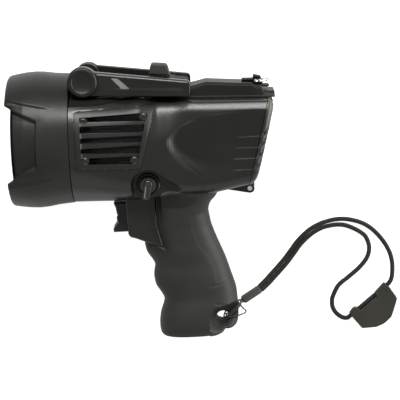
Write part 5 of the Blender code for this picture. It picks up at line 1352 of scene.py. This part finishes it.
# Heights of the dial and the lever are above the pocket's floor.
controls = {
    "dial": (50.5, -29.6), "floor": 25.3, "shaftEnd": 19.5, "shaft": 2.1,
    "ring": [(0.0, 5.9), (0.0, 7.7), (1.6, 7.7), (2.1, 7.1), (2.1, 6.3), (1.6, 5.9)],
    "disc": [(0.0, 2.1), (0.0, 5.5), (3.4, 5.5), (4.0, 5.2), (4.2, 4.5), (4.2, 0.0)],
    "leverTop": (50.8, -28.6, 2.9), "leverFoot": (48.9, -36.6, 2.6), "leverLevels": (3.0, 6.3),
    "leverGrid": (70, 30), "leverEdge": 1.6, "leverMiddle": ((-39.2, -26.0), (48.9, 50.8)),
    "leverHollow": (0.9, 1.3, 1.5, -28.2, -30.2),
    "trigger": [(26.2, -43.6), (27.5, -47.0), (28.0, -51.0), (28.9, -51.8), (27.7, -53.2),
                (28.0, -56.0), (28.8, -56.8), (26.6, -59.4), (25.2, -61.2), (25.2, -63.2),
                (39.2, -63.2), (39.2, -43.6)],
    "triggerGrid": (150, 36), "triggerCorner": (0.35, 0.22), "triggerHalf": 9.6,
    "triggerEdge": 1.0, "ribDepth": 0.22, "ribPitch": 1.45,
    "ribFront": 30.0, "ribSpan": (-44.5, -62.8),
}


# Grid slabs whose columns run along y, for outlines that turn back along x only.
def slabByRows(outline, *rest):
    points, faces = slabByColumns(outline[:, ::-1], *rest)
    return np.asarray(points).reshape(-1, 3)[:, [1, 0, 2]], faces


# A shallow groove along the lever, whose middle line follows its lean.
def leverHollow(along, across):
    middle = np.interp(along, *controls["leverMiddle"])
    depth, edge, width, *span = controls["leverHollow"]
    groove = ramp(edge - np.abs(across - middle) / width) * rising(along, *span)
    return depth * groove


# The trigger's front edge is waved by a sine of the height for its ribs.
def makeControls():
    c = controls
    dial, z = (*c["dial"], 0.0), c["floor"]
    ring = turned([(z + h, r) for h, r in c["ring"]], dial, (0, 0, 1), 80)
    makePiece("modeDialRing", ring, looks["knob_nylon"], "light", ["mode_dial_ring"])
    disc = [(c["shaftEnd"], 0.0), (c["shaftEnd"], c["shaft"])]
    disc = turned(disc + [(z + h, r) for h, r in c["disc"]], dial, (0, 0, 1), 72)
    outline = rounded(arcPoints(c["leverTop"][:2], c["leverTop"][2], 0.0, 180.0, 16)
                      + arcPoints(c["leverFoot"][:2], c["leverFoot"][2], 190.0, 350.0, 14),
                      0.3, 0.25)
    low, high = c["leverLevels"]
    lever = slabByRows(outline, z + low, z + high, c["leverEdge"], leverHollow,
                       *c["leverGrid"])
    makePiece("modeLever", together(disc, lever), looks["lever_nylon"], "mode_lever",
              ["mode_lever"])
    outline = rounded(c["trigger"], *c["triggerCorner"])
    x, y = outline.T
    ribs = c["ribDepth"] * np.sin(2.0 * math.pi * y / c["ribPitch"]) * (x < c["ribFront"])
    first, last = c["ribSpan"]
    outline[:, 0] = x + ribs * ramp(first - y) * ramp(y - last)
    front = slabByRows(outline, 0.0, c["triggerHalf"], c["triggerEdge"], None,
                       *c["triggerGrid"])
    makePiece("triggerPull", together(front, mirrored(front)), looks["smooth_nylon"],
              "trigger", ["trigger"])


makeControls()
print("controls made")

door = {
    "front": 124.7, "frontInset": 3.2, "rounding": (4.6, 4.9), "roundingSteps": 16,
    "around": 620, "capRings": (0.92, 0.8, 0.6, 0.4, 0.2, 0.02), "capRise": 0.25,
    "facing": (16.0, 22.0), "paintedRearLight": (5.0, 127.0, 132.0), "paintedLightFrom": 14.0,
    "hookShade": 0.85, "browPaintedShade": 0.3,
    "brow": [(128.4, 10.2), (132.2, 13.6), (133.6, 21.0), (130.8, 21.0)], "browHalf": 24.0,
    "browCorner": (0.5, 0.3), "browEdge": 0.8, "rootHalf": 3.4, "rootEdge": 0.2,
    "knuckle": [(-3.4, 1.75), (-3.4, 2.9), (-3.2, 3.1), (3.2, 3.1), (3.4, 2.9), (3.4, 1.75)],
    "knuckleRoot": [(118.4, -37.6), (119.7, -38.6), (119.9, -34.4), (116.0, -34.4),
                    (116.2, -36.6), (117.4, -36.7)],
}
latch = {
    "bracket": [(114.6, 32.2), (121.4, 31.8), (122.1, 31.2), (122.1, 27.6), (127.2, 27.6),
                (127.2, 34.2), (122.4, 35.5), (122.0, 33.1), (114.6, 33.3)],
    "bracketHalf": 6.5, "knobLevel": 30.1,
    "knob": [(124.0, 0.0), (124.0, 1.2), (127.5, 1.2), (127.5, 2.5), (127.9, 2.9),
             (131.6, 2.9), (132.6, 2.3), (132.9, 1.2), (132.7, 0.0)],
    "knurl": (0.045, 12.0), "knurlFrom": (127.9, 128.3), "knurlTo": (131.6, 131.2),
}


# The barrel's section, set in by a quarter ellipse towards the rear, then flat rings to the
# middle. The finger grooves hook round its edge.
def makeDoor():
    d = door
    longer, deep = d["rounding"]
    t = np.sin(np.linspace(0.0, 0.5 * math.pi, d["roundingSteps"]))
    stations = [(d["front"], d["frontInset"])] + [
        (d["front"] + longer * v, deep * (1.0 - math.sqrt(max(0.0, 1.0 - v * v)))) for v in t]
    rings = []
    for s, inset in stations:
        edge = float(coverEdgeAt(s))
        fine = section(s, inset, np.linspace(edge, -180.0 - edge, 1800))
        rings.append(evenly(fine, count=d["around"], closed=True))
    rim, middle = rings[-1], rings[-1].mean(axis=0)
    for t in d["capRings"]:
        rings.append(middle + (rim - middle) * t + np.array([d["capRise"] * (1.0 - t), 0, 0]))
    p = np.stack(rings)
    x, y, z = p[..., 0], p[..., 1], p[..., 2]
    near = np.arange(len(rings))[:, None] < len(stations) - 2
    facing = rising(np.abs(z), *d["facing"]) * near
    grooves, hooks = grooveDepth(x, y)
    # Painted light: the rounded rear edge, away from the middle, is up to six times lighter;
    # painted shade darkens the hooks.
    light, *span = d["paintedRearLight"]
    tone = 1.0 + light * rising(x, *span) * near * (np.abs(z) > d["paintedLightFrom"])
    tone = tone * (1.0 - d["hookShade"] * hooks * facing)
    p[..., 2] = z - np.sign(z) * grooves * facing
    count = p.shape[1]
    faces = gridFaces(len(rings), count, wrapColumns=True) + endFaces(len(rings), count)
    brow = roundedSlab(rounded(d["brow"], *d["browCorner"]), -d["browHalf"], d["browHalf"],
                       d["browEdge"], d["browEdge"])
    knuckle = turned(d["knuckle"], (*housing["hinge"], 0.0), (0, 0, 1), 48)
    root = roundedSlab(rounded(d["knuckleRoot"], 0.2, 0.2), -d["rootHalf"], d["rootHalf"],
                       d["rootEdge"], d["rootEdge"], 3, 0.1)
    points, faces = together((p, faces), brow, knuckle, root)
    # Painted shade: the brow is darker.
    tone = np.concatenate([tone.ravel(), np.full(len(brow[0]), d["browPaintedShade"]),
                           np.ones(len(knuckle[0]) + len(root[0]))])
    makePiece("tailDoor", (points, faces), looks["black_nylon"], "tail_door", ["tail_door"],
              tone=tone, sharp=40.0)


# The knob's rim is knurled by the square of a sine of the angle.
def knurled(height, angle):
    depth, count = latch["knurl"]
    zone = rising(height, *latch["knurlFrom"]) * rising(height, *latch["knurlTo"])
    return 1.0 - depth * zone * np.sin(count * angle) ** 2


# The bracket is an outline drawn out along z, the knob a profile spun about x.
def makeLatch():
    half = latch["bracketHalf"]
    makePiece("latchBracket", roundedSlab(rounded(latch["bracket"], 0.3, 0.2), -half, half,
                                          0.35, 0.35, 3, 0.15),
              looks["latch_black"], "light", ["latch_bracket"])
    knob = turned(softProfile(latch["knob"], 0.15, 0.12), (0.0, latch["knobLevel"], 0.0),
                  (1, 0, 0), 192, knurled)
    makePiece("latchKnob", knob, looks["knob_steel"], "latch_knob", ["latch_knob"])


housingScrew = {"head": [(0.0, 0.0), (0.0, 2.9), (0.9, 2.9), (1.4, 2.3), (1.45, 1.0),
                         (0.5, 0.85), (0.5, 0.0)], "lift": 0.3}


# Spun heads, each lifted a little from its seat's floor, which is the side less the seat's
# depth, and mirrored to the right side.
def makeHousingScrews():
    seats = [(x, y, float(sideAt(x, y))) for x, y in sideForms["screws"]]
    seats.append((*sideForms["boxScrew"], housing["boxHalf"]))
    screws = [mirrored(turned(housingScrew["head"],
                              (x, y, z - sideForms["screwSeat"] + housingScrew["lift"]),
                              (0, 0, 1), 32)) for x, y, z in seats]
    makePiece("housingScrews", together(*screws), looks["black_screw"], "light",
              [f"housing_screw_{i}" for i in (1, 2, 3, 4)])


makeDoor()
makeLatch()
makeHousingScrews()
print("tail door, latch and screws made")


# Every CAD node that still shows gets its slot's material.
def dressNodes():
    slots = {row["node"]: row["material_slot"] for row in frame["record"]["subparts"]}
    shown = [made for made in bpy.context.scene.objects
             if made.name in slots and made.type == "MESH" and not made.hide_render]
    for made in shown:
        made.data.materials.clear()
        made.data.materials.append(looks[slots[made.name]])
    print("CAD nodes dressed:", len(shown))


dressNodes()

# Three strengths are for rays from the camera, for what metal and glass show, and for the rest.
# A lamp has a name, a place, two sides and a power.
studio = {"floorColour": 0.60, "floorGlow": (0.90, 0.30, 0.0), "floorHalf": 3.0,
          "floorRoughness": 0.8, "floorSpecular": 0.1, "world": (1.0, 0.5, 0.22),
          "lamps": [("key", (0.02, 0.66, 0.72), (0.95, 0.14), 11.5),
                    ("rear", (0.94, 0.05, 0.20), (0.9, 0.42), 8.5),
                    ("low", (0.0, -0.85, 0.28), (1.5, 0.5), 1.2)], "target": (0.0, 0.0, 0.04)}


# The rest's strength, mixed to the mirrors' by glossy or transmission ray, then to the camera's.
def litByCamera(tree, forCamera, forMirrors, forRest):
    path = node(tree, "ShaderNodeLightPath")
    either = node(tree, "ShaderNodeMath", operation="MAXIMUM")
    tree.links.new(path.outputs["Is Glossy Ray"], either.inputs[0])
    tree.links.new(path.outputs["Is Transmission Ray"], either.inputs[1])
    first = node(tree, "ShaderNodeMix", data_type="FLOAT")
    tree.links.new(either.outputs[0], first.inputs["Factor"])
    first.inputs["A"].default_value = forRest
    first.inputs["B"].default_value = forMirrors
    second = node(tree, "ShaderNodeMix", data_type="FLOAT")
    tree.links.new(path.outputs["Is Camera Ray"], second.inputs["Factor"])
    tree.links.new(first.outputs["Result"], second.inputs["A"])
    second.inputs["B"].default_value = forCamera
    return second.outputs["Result"]


# One square: the camera sees its glow, and the diffuse grey keeps the object's shadow.
def makeFloor():
    side = studio["floorHalf"]
    mesh = bpy.data.meshes.new("floor")
    corners = [(-side, -side, 0), (side, -side, 0), (side, side, 0), (-side, side, 0)]
    mesh.from_pydata(corners, [], [(0, 1, 2, 3)])
    floor = bpy.data.objects.new("floor", mesh)
    bpy.context.scene.collection.objects.link(floor)
    look = bpy.data.materials.new("pale_floor")
    look.use_nodes = True
    shader = look.node_tree.nodes["Principled BSDF"]
    grey = studio["floorColour"]
    shader.inputs["Base Color"].default_value = (grey, grey, grey, 1.0)
    shader.inputs["Roughness"].default_value = studio["floorRoughness"]
    shader.inputs["Specular IOR Level"].default_value = studio["floorSpecular"]
    shader.inputs["Emission Color"].default_value = (1.0, 1.0, 1.0, 1.0)
    look.node_tree.links.new(litByCamera(look.node_tree, *studio["floorGlow"]),
                             shader.inputs["Emission Strength"])
    mesh.materials.append(look)


# A lamp looks along its own minus z: its tilt is the arc cosine of how steeply it looks down,
# and its turn is the direction's angle less a right angle.
def makeLight():
    world = bpy.data.worlds.new("studio")
    bpy.context.scene.world = world
    world.use_nodes = True
    back = world.node_tree.nodes["Background"]
    back.inputs["Color"].default_value = (1.0, 1.0, 1.0, 1.0)
    world.node_tree.links.new(litByCamera(world.node_tree, *studio["world"]),
                              back.inputs["Strength"])
    for name, place, size, power in studio["lamps"]:
        data = bpy.data.lights.new(name, "AREA")
        data.shape = "RECTANGLE"
        data.size, data.size_y = size
        data.energy = power
        lamp = bpy.data.objects.new(name, data)
        lamp.location = place
        away = np.array(studio["target"]) - np.array(place)
        away = away / np.linalg.norm(away)
        lamp.rotation_euler = (math.acos(-away[2]), 0.0,
                               math.atan2(away[1], away[0]) - 0.5 * math.pi)
        bpy.context.scene.collection.objects.link(lamp)


makeFloor()
makeLight()
bpy.context.scene.view_settings.view_transform = "Standard"

print("stage made")
